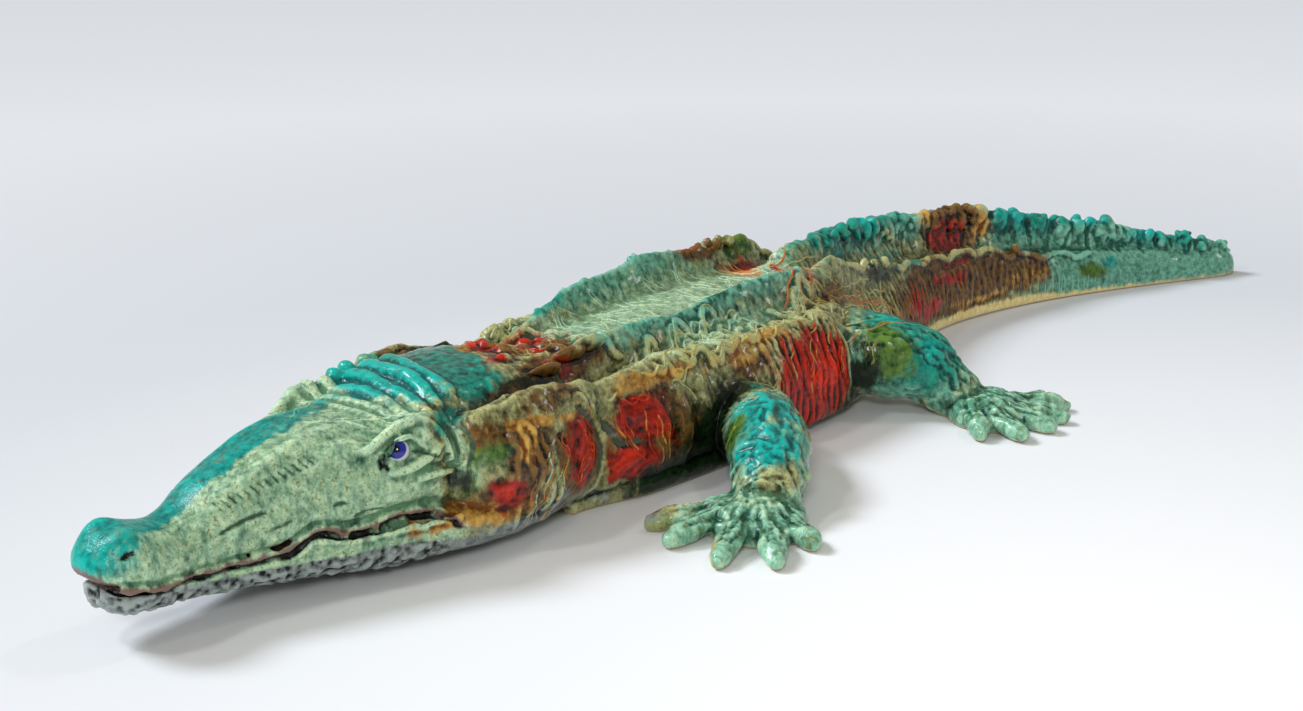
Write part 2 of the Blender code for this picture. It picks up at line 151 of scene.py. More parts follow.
RIGHT_BACK = {"thick": 0.0075,
              "off": mm((-160, 30), (-100, 34), (80, 36), (130, 30)),
              "high": mm((-140, 0), (-120, 3), (-98, 8), (-80, 13), (-50, 20), (-10, 20), (10, 24),
                         (60, 19), (100, 16), (138, 0))}
JOWL = {"thick": 0.0075,
        "off": mm((-235, 48), (-205, 54), (-180, 57), (-140, 56)),
        "high": mm((-238, 0), (-222, 5), (-195, 8), (-160, 8), (-140, 4), (-130, 0))}
HOLLOW = {"thick": 0.006,
          "off": mm((-235, 40), (-200, 43), (-130, 43), (-90, 45)),
          "high": mm((-236, 0), (-220, 4), (-180, 7), (-130, 9), (-100, 5), (-80, 0))}
FLANK = {"thick": 0.0065,
         "off": mm((-150, 49), (-100, 54), (-50, 59), (0, 64), (60, 64), (100, 58)),
         "high": mm((-155, 0), (-138, 10), (-100, 13), (-60, 9), (0, 7), (70, 6), (100, 0))}
BROW = {"thick": 0.006,
        "off": mm((-300, 29), (-280, 34), (-262, 40), (-240, 40), (-222, 36)),
        "high": mm((-302, 0), (-288, 4), (-272, 10), (-256, 12.5), (-240, 9), (-224, 0))}
TAIL_SIDE = {"thick": 0.0055,
             "off": mm((100, 36), (170, 31), (300, 25), (420, 18), (550, 11)),
             "high": mm((95, 0), (122, 16), (170, 12), (230, 8), (290, 9), (350, 12), (390, 7), (440, 6),
                        (520, 4), (565, 0))}
CREST = mm((85, 0), (110, 10), (125, 18), (160, 24), (220, 28), (280, 27), (340, 30), (400, 29),
           (450, 22), (480, 23), (520, 16), (560, 10), (595, 6), (610, 0))
NUB_PITCH = 0.0205


def ridge(form, along, across):
    """Height of one long ridge over the plain back."""
    first, last = form["high"][0][0], form["high"][-1][0]
    inside = (along > first) & (along < last)
    height = np.where(inside, curve(form["high"], along), 0)
    return height * bump(across, curve(form["off"], along), form["thick"])


def body_rings(stations, around):
    """Cross-sections of head, trunk and tail: a rounded hide with ridges, brows, folds and jowls."""
    t = np.linspace(SNOUT_AT, TAIL_AT, stations)[:, None]
    angle = np.linspace(-math.pi, math.pi, around, endpoint=False)[None, :]
    side = np.where(angle < 0, -1.0, 1.0)
    angle = np.abs(angle) - math.pi / 2
    half, back, lower = curve(HALF, t), curve(BACK, t), curve(LOWER, t)
    middle = lower + (back - lower) * curve(WAIST, t)
    c, s = np.cos(angle), np.sin(angle)
    upper_power = 2 / curve(ROUND_UPPER, t)
    lower_power = 2 / curve(ROUND_LOWER, t)
    across = half * np.abs(c) ** np.where(s > 0, upper_power, lower_power)
    up = np.where(s > 0, middle + (back - middle) * np.abs(s) ** upper_power,
                  middle - (middle - lower) * np.abs(s) ** lower_power)
    level = bump(up, 0.040, 0.028)
    across = across + level * (0.007 * bump(t, -0.188, 0.026) + 0.004 * bump(t, -0.090, 0.026)
                               - 0.006 * bump(t, -0.232, 0.006) - 0.004 * bump(t, -0.135, 0.006))
    across = across - 0.006 * bump(t, -0.272, 0.011) * bump(up, 0.067, 0.008)
    across = across + 0.003 * bump(t, -0.268, 0.020) * bump(up, 0.050, 0.008)
    ribs = bump(t, 0.045, 0.032) * bump(up, 0.040, 0.022)
    across = across + 0.0013 * ribs * np.sin((t - 0.02) * math.tau / 0.0125)
    rolls = bump(t, -0.085, 0.030) * bump(up, 0.040, 0.025)
    across = across + 0.0016 * rolls * np.sin(t * math.tau / 0.021)
    top = np.clip(3 * s, 0, 1)
    lift = 0.0035 * bump(t, -0.398, 0.008) * bump(across, 0.012, 0.006)
    lift = lift + 0.0025 * bump(t, -0.315, 0.035) * bump(across, 0.017, 0.004)
    both = ridge(FLANK, t, across) + ridge(BROW, t, across) + ridge(TAIL_SIDE, t, across)
    both = both + ridge(JOWL, t, across) - ridge(HOLLOW, t, across)
    backs = np.where(side > 0, ridge(LEFT_BACK, t, across), ridge(RIGHT_BACK, t, across))
    crest = np.where((t > 0.086) & (t < 0.609), curve(CREST, t), 0) * bump(across, 0, 0.0036 + 0.09 * half)
    up = up + top * (lift + both + backs + crest)
    return stand(t + 0 * across, side * across, up)


class Clay:
    """Soft clay: closed lumps collected before they are worked into one."""

    def __init__(self):
        self.points, self.faces, self.count = [], [], 0

    def add(self, rings):
        stations, around = rings.shape[:2]
        grid = self.count + np.arange(stations * around).reshape(stations, around)
        turned = np.roll(grid, -1, axis=1)
        sides = np.stack([grid[:-1], turned[:-1], turned[1:], grid[1:]], axis=-1)
        self.faces += sides.reshape(-1, 4).tolist()
        self.faces.append(grid[0, ::-1].tolist())
        self.faces.append(grid[-1].tolist())
        flat = rings.reshape(-1, 3).copy()
        flat[:, 2] = np.maximum(flat[:, 2], 0.0)
        self.points.append(flat)
        self.count += stations * around


clay = Clay()
clay.add(body_rings(760, 220))


# The lower jaw, a long shallow wedge that stands a finger's width off the table at the chin, and the
# two rolled lips. The jaw is luted on under the head with a gap along the wavy line of the mouth.
JAW_TOP = mm((-407, 32), (-390, 32.5), (-350, 31), (-325, 30.5), (-306, 37), (-290, 34), (-250, 34),
             (-200, 30), (-150, 20))
JAW_FLOOR = mm((-407, 24), (-400, 18.5), (-370, 15.5), (-335, 11), (-300, 7.2), (-260, 3), (-200, 0.8),
               (-150, 0.8))
JAW_HALF = mm((-407, 8), (-402, 14.5), (-390, 19), (-370, 19), (-350, 21.2), (-325, 28.5), (-300, 39),
              (-270, 50), (-240, 58.5), (-205, 64), (-150, 54))


def jaw_rings(stations, around):
    """Cross-sections of the lower jaw and the throat behind it."""
    t = np.linspace(JAW_TOP[0][0], JAW_TOP[-1][0], stations)[:, None]
    angle = np.linspace(-math.pi, math.pi, around, endpoint=False)[None, :]
    half, top, floor = curve(JAW_HALF, t), curve(JAW_TOP, t), curve(JAW_FLOOR, t)
    middle = floor + (top - floor) * 0.65
    c, s = np.cos(angle), np.sin(angle)
    power = 2 / 2.8
    across = half * np.sign(c) * np.abs(c) ** power
    up = np.where(s > 0, middle + (top - middle) * np.abs(s) ** power,
                  middle - (middle - floor) * np.abs(s) ** power)
    return stand(t + 0 * across, across, up)


def roll_rings(points, radii, around=10):
    """A roll of clay along a line: round sections of the given radii."""
    points, radii = np.asarray(points, float), np.asarray(radii, float)
    forward = np.gradient(points, axis=0)
    forward /= np.linalg.norm(forward, axis=1)[:, None]
    sideways = np.cross(forward, (0.02, 0.03, 1.0))
    sideways /= np.linalg.norm(sideways, axis=1)[:, None]
    upward = np.cross(sideways, forward)
    angle = np.linspace(0, math.tau, around, endpoint=False)[None, :, None]
    ring = np.cos(angle) * sideways[:, None, :] + np.sin(angle) * upward[:, None, :]
    return points[:, None, :] + radii[:, None, None] * ring


clay.add(jaw_rings(220, 90))
# the belly spreads a little where it sits on the kiln shelf
BELLY_FOOT = mm((-150, 4), (-125, 6.6), (-85, 8.6), (-40, 8.4), (20, 6))
for side in (1, -1):
    t = np.linspace(BELLY_FOOT[0][0], BELLY_FOOT[-1][0], 80)
    thick = curve(BELLY_FOOT, t)
    tuck = 0.0072 + 0.0080 * (1 - ramp(t, -0.150, -0.100))
    clay.add(roll_rings(stand(t, side * (curve(HALF, t) - tuck), 0.9 * thick), thick, 20))
    t = np.linspace(-0.404, -0.236, 90)
    wave = 0.0006 * np.sin(t * 410) + 0.0004 * np.sin(t * 777 + 1)
    upper = stand(t, side * (curve(HALF, t) - 0.0012), curve(LOWER, t) + 0.0012 + wave)
    clay.add(roll_rings(upper, 0.0019 + 0.0004 * np.sin(t * 260)))
    lower = stand(t, side * (curve(JAW_HALF, t) - 0.0012), curve(JAW_TOP, t) - 0.0052 - wave)
    clay.add(roll_rings(lower, 0.0017 + 0.0003 * np.sin(t * 330)))


# Brows, lids and the corners of the mouth, rolled thin and pressed round each eyeball: a heavy brow with
# a kink in front, a lobe of clay that hoods the eye from behind, and a thick lower lid under it.
BROW_ROLL = mm((-288, 20, 74.8), (-283.5, 30, 71.5), (-279, 36.2, 69), (-271.5, 37.8, 72.5),
               (-264, 39.2, 76.5), (-254.5, 40.8, 79), (-245.5, 42, 77.5), (-238.5, 44.7, 71.8),
               (-234.5, 47, 63), (-232.5, 48.2, 55))
LOWER_LID = mm((-271.5, 45, 57.5), (-264, 47.5, 58), (-256, 48.8, 59.6), (-247, 49, 62), (-239.5, 48, 65),
               (-236, 46.5, 68))
UPPER_LID = mm((-271.2, 43, 64.5), (-268.8, 44.5, 70), (-264, 45.2, 73.6), (-258.5, 45.6, 73.8),
               (-253.5, 46.2, 70.8), (-250, 47.2, 66.5))
CHEEK_FOLD = mm((-256, 50, 52), (-249, 50.8, 52.2), (-240, 50.8, 51.5), (-230, 50.5, 49.8))


def far_along(spots):
    """How far along their line each of some spots lies."""
    return np.concatenate([[0], np.cumsum(np.linalg.norm(np.diff(spots, axis=0), axis=1))])


def bent(rows, count):
    """More rows in between a few, on smooth lines."""
    rows = np.array(rows, float)
    far = far_along(rows[:, :3])
    places = np.linspace(0, far[-1], count)
    return np.stack([curve(list(zip(far, column)), places) for column in rows.T], axis=1)


def egg(middle, reach, turn=0.0, lean=0.0):
    """An egg of clay: three half sizes, turned about the upright and leaning over sideways."""
    rings = np.linspace(0.02, math.pi - 0.02, 16)[:, None]
    angle = np.linspace(0, math.tau, 20, endpoint=False)[None, :]
    z = reach[2] * np.cos(rings) + 0 * angle
    x = reach[0] * np.sin(rings) * np.cos(angle) + lean * z
    y = reach[1] * np.sin(rings) * np.sin(angle)
    c, s = math.cos(turn), math.sin(turn)
    return np.stack([middle[0] + c * x + s * y, middle[1] - s * x + c * y, middle[2] + z], axis=-1)


for side in (1, -1):
    for line, thick in ((BROW_ROLL, 0.0023), (UPPER_LID, 0.0011), (LOWER_LID, 0.0021),
                        (CHEEK_FOLD, 0.0014)):
        rows = bent(line, 40)
        taper = np.sin(np.linspace(0.15, math.pi - 0.15, 40)) ** 0.5
        clay.add(roll_rings(stand(rows[:, 0], side * rows[:, 1], rows[:, 2]), thick * taper + 0.0004))
    clay.add(egg(stand(-0.2480, side * 0.0418, 0.0712), (0.0060, 0.0080, 0.0058)))
    clay.add(egg(stand(-0.2440, side * 0.0440, 0.0655), (0.0050, 0.0070, 0.0045)))
    # clay packed into the corner of the mouth, behind the lips
    t = np.linspace(-0.316, -0.228, 50)
    inside = stand(t, side * (curve(HALF, t) - 0.0075), curve(LOWER, t) + 0.0005)
    clay.add(roll_rings(inside, 0.0062 + 0 * t, 16))


# The four legs. Each is a bent roll of clay with a flattened palm and five finger-rolled toes splayed on
# the table, and each front leg has a thin cuff pressed round the wrist. The far pair lies lower and a
# little closer in.
# A leg has its side, the line of the limb with its radii, the palm, and each toe from root to tip.
LEGS = [
    (1, mm((38, -16, 24, 22.5), (74, -24, 25, 24), (103, -45, 26.5, 23.5), (125, -72, 19, 21),
           (137, -92, 10, 18.5)),
     mm((137, -101, 30, 27))[0],
     mm((120, -102, 95, -141), (126, -110, 119, -153), (139, -113, 156, -157), (148, -106, 180, -138),
        (150, -95, 181, -106))),
    (1, mm((30, 95, 36, 27), (68, 108, 35, 26.5), (94, 121, 30, 24), (109, 129, 19, 19),
           (124, 134, 7, 15.5)),
     mm((142, 134, 27, 27))[0],
     mm((135, 121, 160, 93), (146, 122, 180, 109), (150, 132, 186, 136), (149, 141, 183, 158),
        (141, 147, 171, 182))),
    (-1, mm((38, -6, 28, 23), (70, -10, 26, 23), (96, -22, 23, 21), (118, -44, 18, 19),
            (130, -62, 11, 17)),
     mm((132, -70, 29, 26))[0],
     mm((117, -73, 96, -110), (124, -80, 117, -122), (135, -83, 150, -126), (144, -77, 176, -108),
        (146, -66, 181, -76))),
    (-1, mm((30, 85, 34, 26), (66, 96, 33, 25.5), (92, 107, 29, 23), (112, 115, 20, 19),
            (130, 119, 12, 16)),
     mm((140, 120, 27, 26))[0],
     mm((133, 107, 158, 80), (143, 108, 178, 96), (148, 118, 188, 122), (147, 127, 184, 145),
        (139, 133, 172, 169))),
]


CUFF_RADIUS = 0.0198
for side, arm, palm, toes in LEGS:
    rows = bent(arm, 40)
    places = rows[:, :3] * (side, 1, 1) - CENTRE
    clay.add(roll_rings(places, rows[:, 3], 40))
    x, y, wide, long = palm
    clay.add(egg((side * x - CENTRE[0], y - CENTRE[1], 0.004), (wide, long, 0.0160)))
    for toe in toes:
        root, tip = np.array(toe[:2]), np.array(toe[2:])
        reach = tip - root
        rows = bent([(*(root - 0.2 * reach), 0.0080, 0.0088), (*(root + 0.20 * reach), 0.0092, 0.0074),
                     (*(root + 0.38 * reach), 0.0082, 0.0068), (*(root + 0.58 * reach), 0.0072, 0.0078),
                     (*(root + 0.80 * reach), 0.0052, 0.0066), (*(root + 0.93 * reach), 0.0042, 0.0050),
                     (*tip, 0.0034, 0.0026)], 26)
        clay.add(roll_rings(rows[:, :3] * (side, 1, 1) - CENTRE, 0.88 * rows[:, 3], 18))
    # the cuff at the wrist of a front leg
    if arm[0][1] < 0.05:
        wrist, ahead = places[33], places[36] - places[30]
        ahead = ahead / np.linalg.norm(ahead)
        first = np.cross(ahead, (0, 0, 1.0))
        first /= np.linalg.norm(first)
        second = np.cross(first, ahead)
        turn = np.linspace(0, math.tau, 60)[:, None]
        ring = wrist + CUFF_RADIUS * (np.cos(turn) * first + np.sin(turn) * second)
        ring = ring + 0.0012 * np.sin(turn * 5) * ahead
        clay.add(roll_rings(ring, 0.0021 + 0.0004 * np.sin(turn[:, 0] * 7)))


# Nubs pinched up between finger and thumb: two or three lumps to each fingertip's width, leaning
# every way, in rows on the back ridges, down both sides of the tail and tallest along its crest.
pinch = random.Random(7).uniform


def pinch_row(form, side, first, last, size, messy):
    """A row of ragged nubs along one ridge: a blunt lump with smaller ones pinched up around it."""
    along = first
    while along < last:
        across = float(curve(form["off"], along)) * side
        rise = float(curve(BACK, along)) * 0.93 + float(curve(form["high"], along))
        grow = size * pinch(0.65, 1.10)
        turn = float(np.interp(along, WALK, TURN)) + pinch(-0.5, 0.5)
        spot = stand(along, across + pinch(-0.0018, 0.0018), rise - 0.45 * grow)
        clay.add(egg(spot, (0.60 * grow, 0.85 * grow, 1.2 * grow), turn, pinch(-0.4, 0.4)))
        for _ in range(messy):
            near = stand(along + pinch(-1.2, 1.2) * grow, across + pinch(-0.6, 0.6) * grow,
                         rise - pinch(-0.30, 1.30) * grow)
            small = grow * pinch(0.25, 0.50)
            clay.add(egg(near, (small * pinch(0.8, 1.2), small * pinch(0.8, 1.4), small), turn,
                         pinch(-0.6, 0.6)))
        along += NUB_PITCH * pinch(0.62, 1.12)


pinch_row(LEFT_BACK, 1, -0.105, 0.112, 0.0036, 7)
pinch_row(RIGHT_BACK, -1, -0.095, 0.116, 0.0042, 7)
pinch_row(TAIL_SIDE, 1, 0.168, 0.430, 0.0026, 3)
pinch_row(TAIL_SIDE, -1, 0.168, 0.430, 0.0026, 3)
# the crest is pinched up finger by finger, three to a tuft, with knobs left on their tips
TUFT_PITCH = 0.0190
TUFT_SIZE = [(0.110, 0.75), (0.200, 1.0), (0.500, 1.0), (0.604, 0.88)]
TUFT_LIFT = mm((110, 1), (200, 3.4), (400, 4.4), (560, 7.8), (604, 5))
along = 0.116
while along < 0.603:
    high = float(curve(BACK, along) + curve(CREST, along))
    turn = float(np.interp(along, WALK, TURN))
    big = float(curve(TUFT_SIZE, along)) * pinch(0.85, 1.15)
    lift = float(curve(TUFT_LIFT, along))
    for _ in range(3):
        near, top = along + pinch(-0.0060, 0.0060), high + lift * pinch(-0.5, 1.0)
        tall, lean = 0.0095 * big * pinch(0.8, 1.1), pinch(-0.45, 0.45)
        spot = stand(near, pinch(-0.0026, 0.0026), top - tall)
        clay.add(egg(spot, (0.0060 * big, 0.0062 * big, tall), turn + pinch(-0.4, 0.4), lean))
        for _ in range(6):
            small = pinch(0.0024, 0.0042) * big
            knob = stand(near + big * pinch(-0.0052, 0.0052), big * pinch(-0.0052, 0.0052),
                         top - small - pinch(-0.0005, 0.0100))
            clay.add(egg(knob, (small, small * pinch(0.8, 1.2), small * pinch(0.8, 1.1)), turn))
    along += TUFT_PITCH * pinch(0.80, 1.20)
# a ragged cluster where the far back ridge ends, thick lumps behind the nape, its torn rear edge and a
# leaf-like flap at the start of the near back ridge
for _ in range(18):
    along, small = pinch(0.082, 0.122), pinch(0.0019, 0.0034)
    high = float(curve(BACK, along) + curve(RIGHT_BACK["high"], along))
    clay.add(egg(stand(along, -0.036 + pinch(-0.005, 0.005), high - pinch(0.0, 0.0070)),
                 (small, small * pinch(0.8, 1.3), small * pinch(0.9, 1.5))))
for along, across in mm((-165, -8), (-151, -12), (-166, 19), (-155, 6), (-141, 13), (-126, 1), (-110, -21),
                        (-136, -17), (-118, 15), (-101, -6), (-94, -14), (-146, 27), (-130, 24),
                        (-120, -12)):
    grow = pinch(0.0036, 0.0054)
    clay.add(egg(stand(along, across, float(curve(BACK, along)) - 0.0008), (grow, 1.2 * grow, 0.75 * grow),
                 pinch(-1, 1)))
torn = bent(mm((-158, -33, 79), (-166, -15, 84.5), (-174, 4, 86), (-188, 24, 85), (-196, 40, 79)), 40)
torn_edge = 0.0021 + 0.0006 * np.sin(np.arange(40) * 1.1)
clay.add(roll_rings(stand(torn[:, 0], torn[:, 1], torn[:, 2]), torn_edge))
for along, across, up, lean in ((-0.1540, 0.0360, 0.0790, 0.6), (-0.1330, 0.0345, 0.0830, 0.5),
                                (-0.1180, 0.0350, 0.0860, 0.4)):
    clay.add(egg(stand(along, across, up), (0.0026, 0.0120, 0.0062), 0.15, lean))
# the folds of the nape end in knobs on the far side and die out towards the near eye
for along, across, grow in ((-0.2330, -0.040, 0.0050), (-0.2215, -0.043, 0.0058), (-0.2080, -0.044, 0.0062),
                            (-0.2280, 0.034, 0.0030)):
    clay.add(egg(stand(along, across, 0.0800), (grow, 0.8 * grow, grow)))


# The lumps are worked together into one skin of clay, and any air shut inside is pressed out.
VOXEL = 0.00112

skin = bpy.data.meshes.new("crocodile_clay")
skin.from_pydata(np.vstack(clay.points).tolist(), [], clay.faces)
crocodile = bpy.data.objects.new("crocodile_clay", skin)
bpy.context.collection.objects.link(crocodile)


def work_in(obj, modifier):
    """Take the shape that a modifier gives and make it the shape of the piece."""
    graph = bpy.context.evaluated_depsgraph_get()
    shaped = bpy.data.meshes.new_from_object(obj.evaluated_get(graph))
    obj.modifiers.remove(modifier)
    obj.data = shaped


worked = crocodile.modifiers.new("worked together", "REMESH")
worked.mode = "VOXEL"
worked.voxel_size = VOXEL
work_in(crocodile, worked)


def mesh_arrays(mesh):
    """Points, outward directions and edges of a mesh."""
    points = np.empty(len(mesh.vertices) * 3)
    mesh.vertices.foreach_get("co", points)
    outward = np.empty(len(mesh.vertices) * 3)
    mesh.vertices.foreach_get("normal", outward)
    edges = np.empty(len(mesh.edges) * 2, dtype=np.int64)
    mesh.edges.foreach_get("vertices", edges)
    return points.reshape(-1, 3), outward.reshape(-1, 3), edges.reshape(-1, 2)


def outer_skin(points, edges):
    """True for every point joined to the largest skin."""
    label = np.arange(len(points))
    while True:
        low = np.minimum(label[edges[:, 0]], label[edges[:, 1]])
        fresh = label.copy()
        np.minimum.at(fresh, edges[:, 0], low)
        np.minimum.at(fresh, edges[:, 1], low)
        fresh = fresh[fresh]
        if (fresh == label).all():
            break
        label = fresh
    names, counts = np.unique(label, return_counts=True)
    return label == names[counts.argmax()]


points, outward, edges = mesh_arrays(crocodile.data)
outside = outer_skin(points, edges)
if not outside.all():
    mesh = bmesh.new()
    mesh.from_mesh(crocodile.data)
    shut_in = [vert for vert, keep in zip(mesh.verts, outside) if not keep]
    bmesh.ops.delete(mesh, geom=shut_in, context="VERTS")
    mesh.to_mesh(crocodile.data)
    mesh.free()


def eased(values, edges, rounds, count):
    """Values averaged with their neighbours over the skin."""
    share = np.bincount(edges.ravel(), minlength=count).astype(float)
    share = np.maximum(share, 1)
    for _ in range(rounds):
        total = np.zeros_like(values)
        np.add.at(total, edges[:, 0], values[edges[:, 1]])
        np.add.at(total, edges[:, 1], values[edges[:, 0]])
        values = 0.5 * values + 0.5 * total / (share[:, None] if values.ndim > 1 else share)
    return values


# Ribs, folds and scratches. Ribs and folds are pushed up out of the soft hide with the fingers, and
# scratches are drawn in it with a point. Each is a line on the skin with a width and a height.
touch = BVHTree.FromObject(crocodile, bpy.context.evaluated_depsgraph_get())
hand = random.Random(21)
lines = {"rib": [], "wave": [], "lobe": [], "crease": [], "groove": [], "scratch": [], "socket": []}
ridge_tops = []


# how far over or beside the spine a hand starts towards the hide
HELD_OFF = 0.2


def met(start, way):
    """The point of the hide met from a start on a straight way, or nothing."""
    hit = touch.ray_cast(Vector(start), Vector(way))[0]
    return None if hit is None else np.array(hit)


def from_above(along, across):
    """The point of the hide straight under a place over the back."""
    return met(stand(along, across, HELD_OFF), (0, 0, -1))


def from_side(along, up, side):
    """The point of the hide met when a finger comes in level from the side."""
    far = stand(along, HELD_OFF * side, up)
    way = stand(along, 0.0, up) - far
    return met(far, way / np.linalg.norm(way))


def press(kind, spots, width, height):
    """Press one line into the hide through closely spaced spots, with thinner ends."""
    spots = [spot for spot in spots if spot is not None]
    if len(spots) < 3:
        return
    spots = np.array(spots)
    gaps = np.linalg.norm(np.diff(spots, axis=0), axis=1)
    far = np.concatenate([[0], np.cumsum(gaps)])
    if gaps.max() > 0.02 or far[-1] < 0.0015:
        return
    places = np.linspace(0, far[-1], max(4, int(far[-1] / 0.0006)))
    close = np.stack([np.interp(places, far, column) for column in spots.T], axis=1)
    ends = np.clip(np.minimum(places, far[-1] - places) / (1.5 * width), 0.25, 1) ** 0.5
    for spot, share in zip(close, ends):
        lines[kind].append((spot, width * share, height * share))


def wander(along, across, heading, length, swing):
    """Places over the back along a line that snakes from side to side."""
    spots, phase = [], hand.uniform(0, math.tau)
    for _ in range(int(length / 0.0020)):
        spots.append(from_above(along, across))
        phase += hand.uniform(0.25, 0.60)
        turn = heading + swing * math.sin(phase)
        along += 0.0020 * math.cos(turn)
        across += 0.0020 * math.sin(turn)
    return [spot for spot in spots if spot is not None]


def wave(along, across, heading, length, swing, width, height):
    """A wavy fold, and the line of its top for the slip that is trailed on it later."""
    spots = wander(along, across, heading, length, swing)
    press("wave", spots, width, height)
    ridge_tops.append(spots)


RIB_TOPS = mm((110, 66), (170, 56), (250, 46), (350, 40), (450, 28), (550, 18))
# lines drawn by hand on each side of the head and neck: the kind of line, how finely it is drawn, its
# width and height, and its places along and up, in millimetres
DRAWN = [
    # creases on the cheek
    ("scratch", 16, (1.4, -1.2), [(-354, 46.5), (-347, 48.5), (-339, 50.5), (-331, 51.2)]),
    ("scratch", 16, (1.1, -0.6), [(-332, 42), (-325, 43.2), (-318, 45)]),
    ("scratch", 16, (1.4, -1.0), [(-300, 47), (-296, 48.2), (-293, 47.8)]),
    ("scratch", 16, (1.2, -0.7), [(-290, 40), (-282, 42), (-274, 40.5)]),
    # the deep corner of the socket in front of the eye, and the nostril, both pressed in and painted
    # near-black as painted shade
    ("socket", 14, (3.0, -3.4), [(-273.5, 61), (-271.8, 65), (-269, 69.5), (-264.5, 73.5)]),
    ("socket", 14, (2.4, -1.6), [(-271.2, 60), (-270.4, 65), (-269, 70), (-266, 74)]),
    ("socket", 14, (3.0, -3.0), [(-402, 49), (-400, 50), (-397.5, 50.5)]),
    # creases behind the eye, round its lobe and down to the corner of the mouth
    ("scratch", 18, (1.5, -1.2), [(-256, 65.5), (-250, 64), (-244, 60)]),
    ("scratch", 18, (1.5, -1.2), [(-233, 74), (-230, 66), (-229, 56)]),
    ("scratch", 18, (1.5, -1.2), [(-226, 72), (-224, 62), (-227, 50)]),
    ("scratch", 18, (1.5, -1.2), [(-248, 57), (-240, 56), (-234, 59)]),
    # lobes of the jowl and the neck, and the grooves round them
    ("lobe", 20, (9.5, 2.2), [(-157, 56), (-154.5, 43), (-157, 27)]),
    ("lobe", 20, (7.5, 2.2), [(-126, 24), (-119, 26.5), (-111, 29)]),
    ("lobe", 20, (7.0, 1.8), [(-216, 29), (-211, 37), (-207, 43)]),
    ("lobe", 20, (10.0, 1.8), [(-118, 54), (-103, 50), (-96, 42)]),
    ("groove", 40, (3.0, -2.2), [(-156, 66), (-150, 62), (-140, 49), (-136, 36), (-138.5, 24),
                                 (-145, 16.5)]),
    ("groove", 40, (3.0, -2.2), [(-133, 51), (-127.7, 43), (-124, 37.2), (-110, 35)]),
]
JOWL_DRIPS = mm((-204.5, 66, 44), (-198.5, 68, 40), (-193, 68, 36), (-188, 62, 40), (-196, 34, 18),
                (-184, 36, 16), (-176, 30, 14), (-204, 26, 12))
THUMB_MARK = mm((-175.5, 57), (-174.5, 55.5), (-173.8, 54), (-173.5, 52.5))

for side in (1, -1):
    def beside(along, up, side=side):
        return from_side(along, up, side)

    # ribs pressed round the flank between the legs
    for number in range(16):
        along = 0.000 + number * 0.0056 + hand.uniform(-0.0008, 0.0008)
        rows = [beside(along + 0.012 * (1 - up / 0.066) + 0.0016 * math.sin(up * 160 + number), up)
                for up in np.linspace(0.066, 0.006, 24)]
        press("rib", rows, 0.0027, 0.0021)
    # tight ribs on the neck in front of the foreleg
    for number in range(15):
        along = -0.104 + number * 0.0058 + hand.uniform(-0.001, 0.001)
        rows = [beside(along + 0.012 * (1 - up / 0.060) + 0.0014 * math.sin(up * 190 + number), up)
                for up in np.linspace(0.060 - 0.0006 * number, 0.008, 22)]
        press("rib", rows, 0.0025, 0.0023)
    # ribs down the side of the tail under its low ridge
    for number in range(52):
        along = 0.118 + number * 0.0062 + hand.uniform(-0.0016, 0.0016)
        top = float(curve(RIB_TOPS, along))
        rows = [beside(along + 0.003 * math.sin(up * 140 + number) + 0.12 * (top - up), up)
                for up in np.linspace(top, 0.0130, 16)]
        press("rib", rows, 0.0020 - 0.0012 * (along - 0.1), 0.0010 - 0.0014 * (along - 0.1))
    # pinch creases down the sides of the crest
    for number in range(34):
        along = 0.113 + number * 0.0144 + hand.uniform(-0.005, 0.005)
        high = float(curve(BACK, along) + curve(CREST, along))
        low = float(curve(BACK, along)) * hand.uniform(0.95, 1.15)
        lean = hand.uniform(-0.7, 0.7)
        rows = [beside(along + lean * (high - up), up) for up in np.linspace(high - 0.001, low, 12)]
        press("crease", rows, hand.uniform(0.0020, 0.0036), hand.uniform(-0.0020, -0.0008))
    # slanting ticks along the upper cheek and the long crease under them
    for number in range(14):
        along, up = -0.352 + number * 0.0036, 0.0575 + number * 0.0009
        rows = [beside(along + 0.0030 * k / 6, up - 0.0045 * k / 6 + 0.0025) for k in range(7)]
        press("scratch", rows, 0.0008, -0.0005)
    for kind, spots, size, places in DRAWN:
        press(kind, [beside(*place) for place in bent(mm(*places), spots)], *mm(size)[0])
    # the line of the mouth, pressed in and painted near-black as painted shade in the gap between the lips
    t = np.linspace(-0.412, -0.238, 120)
    press("socket", [beside(a, u) for a, u in zip(t, curve(LOWER, t) - 0.0012 + 0.0007 * np.sin(t * 300))],
          0.0019, -0.0021)

    # drips between the lobes of the jowl, and a deep thumb mark behind them
    for place, top, low_end in JOWL_DRIPS:
        rows = [beside(place + 0.0010 * math.sin(up * 400 + place * 900), up)
                for up in np.linspace(top, low_end, 14)]
        press("rib", rows, 0.0019, 0.0014)
    press("crease", [beside(*place) for place in THUMB_MARK], 0.0040, -0.0038)
    # the thin wavy fold along the low ridge of the tail
    rows = [from_above(a, side * (float(curve(TAIL_SIDE["off"], a)) + 0.0016 * math.sin(a * 170)))
            for a in np.linspace(0.120, 0.470, 170)]
    press("wave", rows, 0.0026, 0.0020)

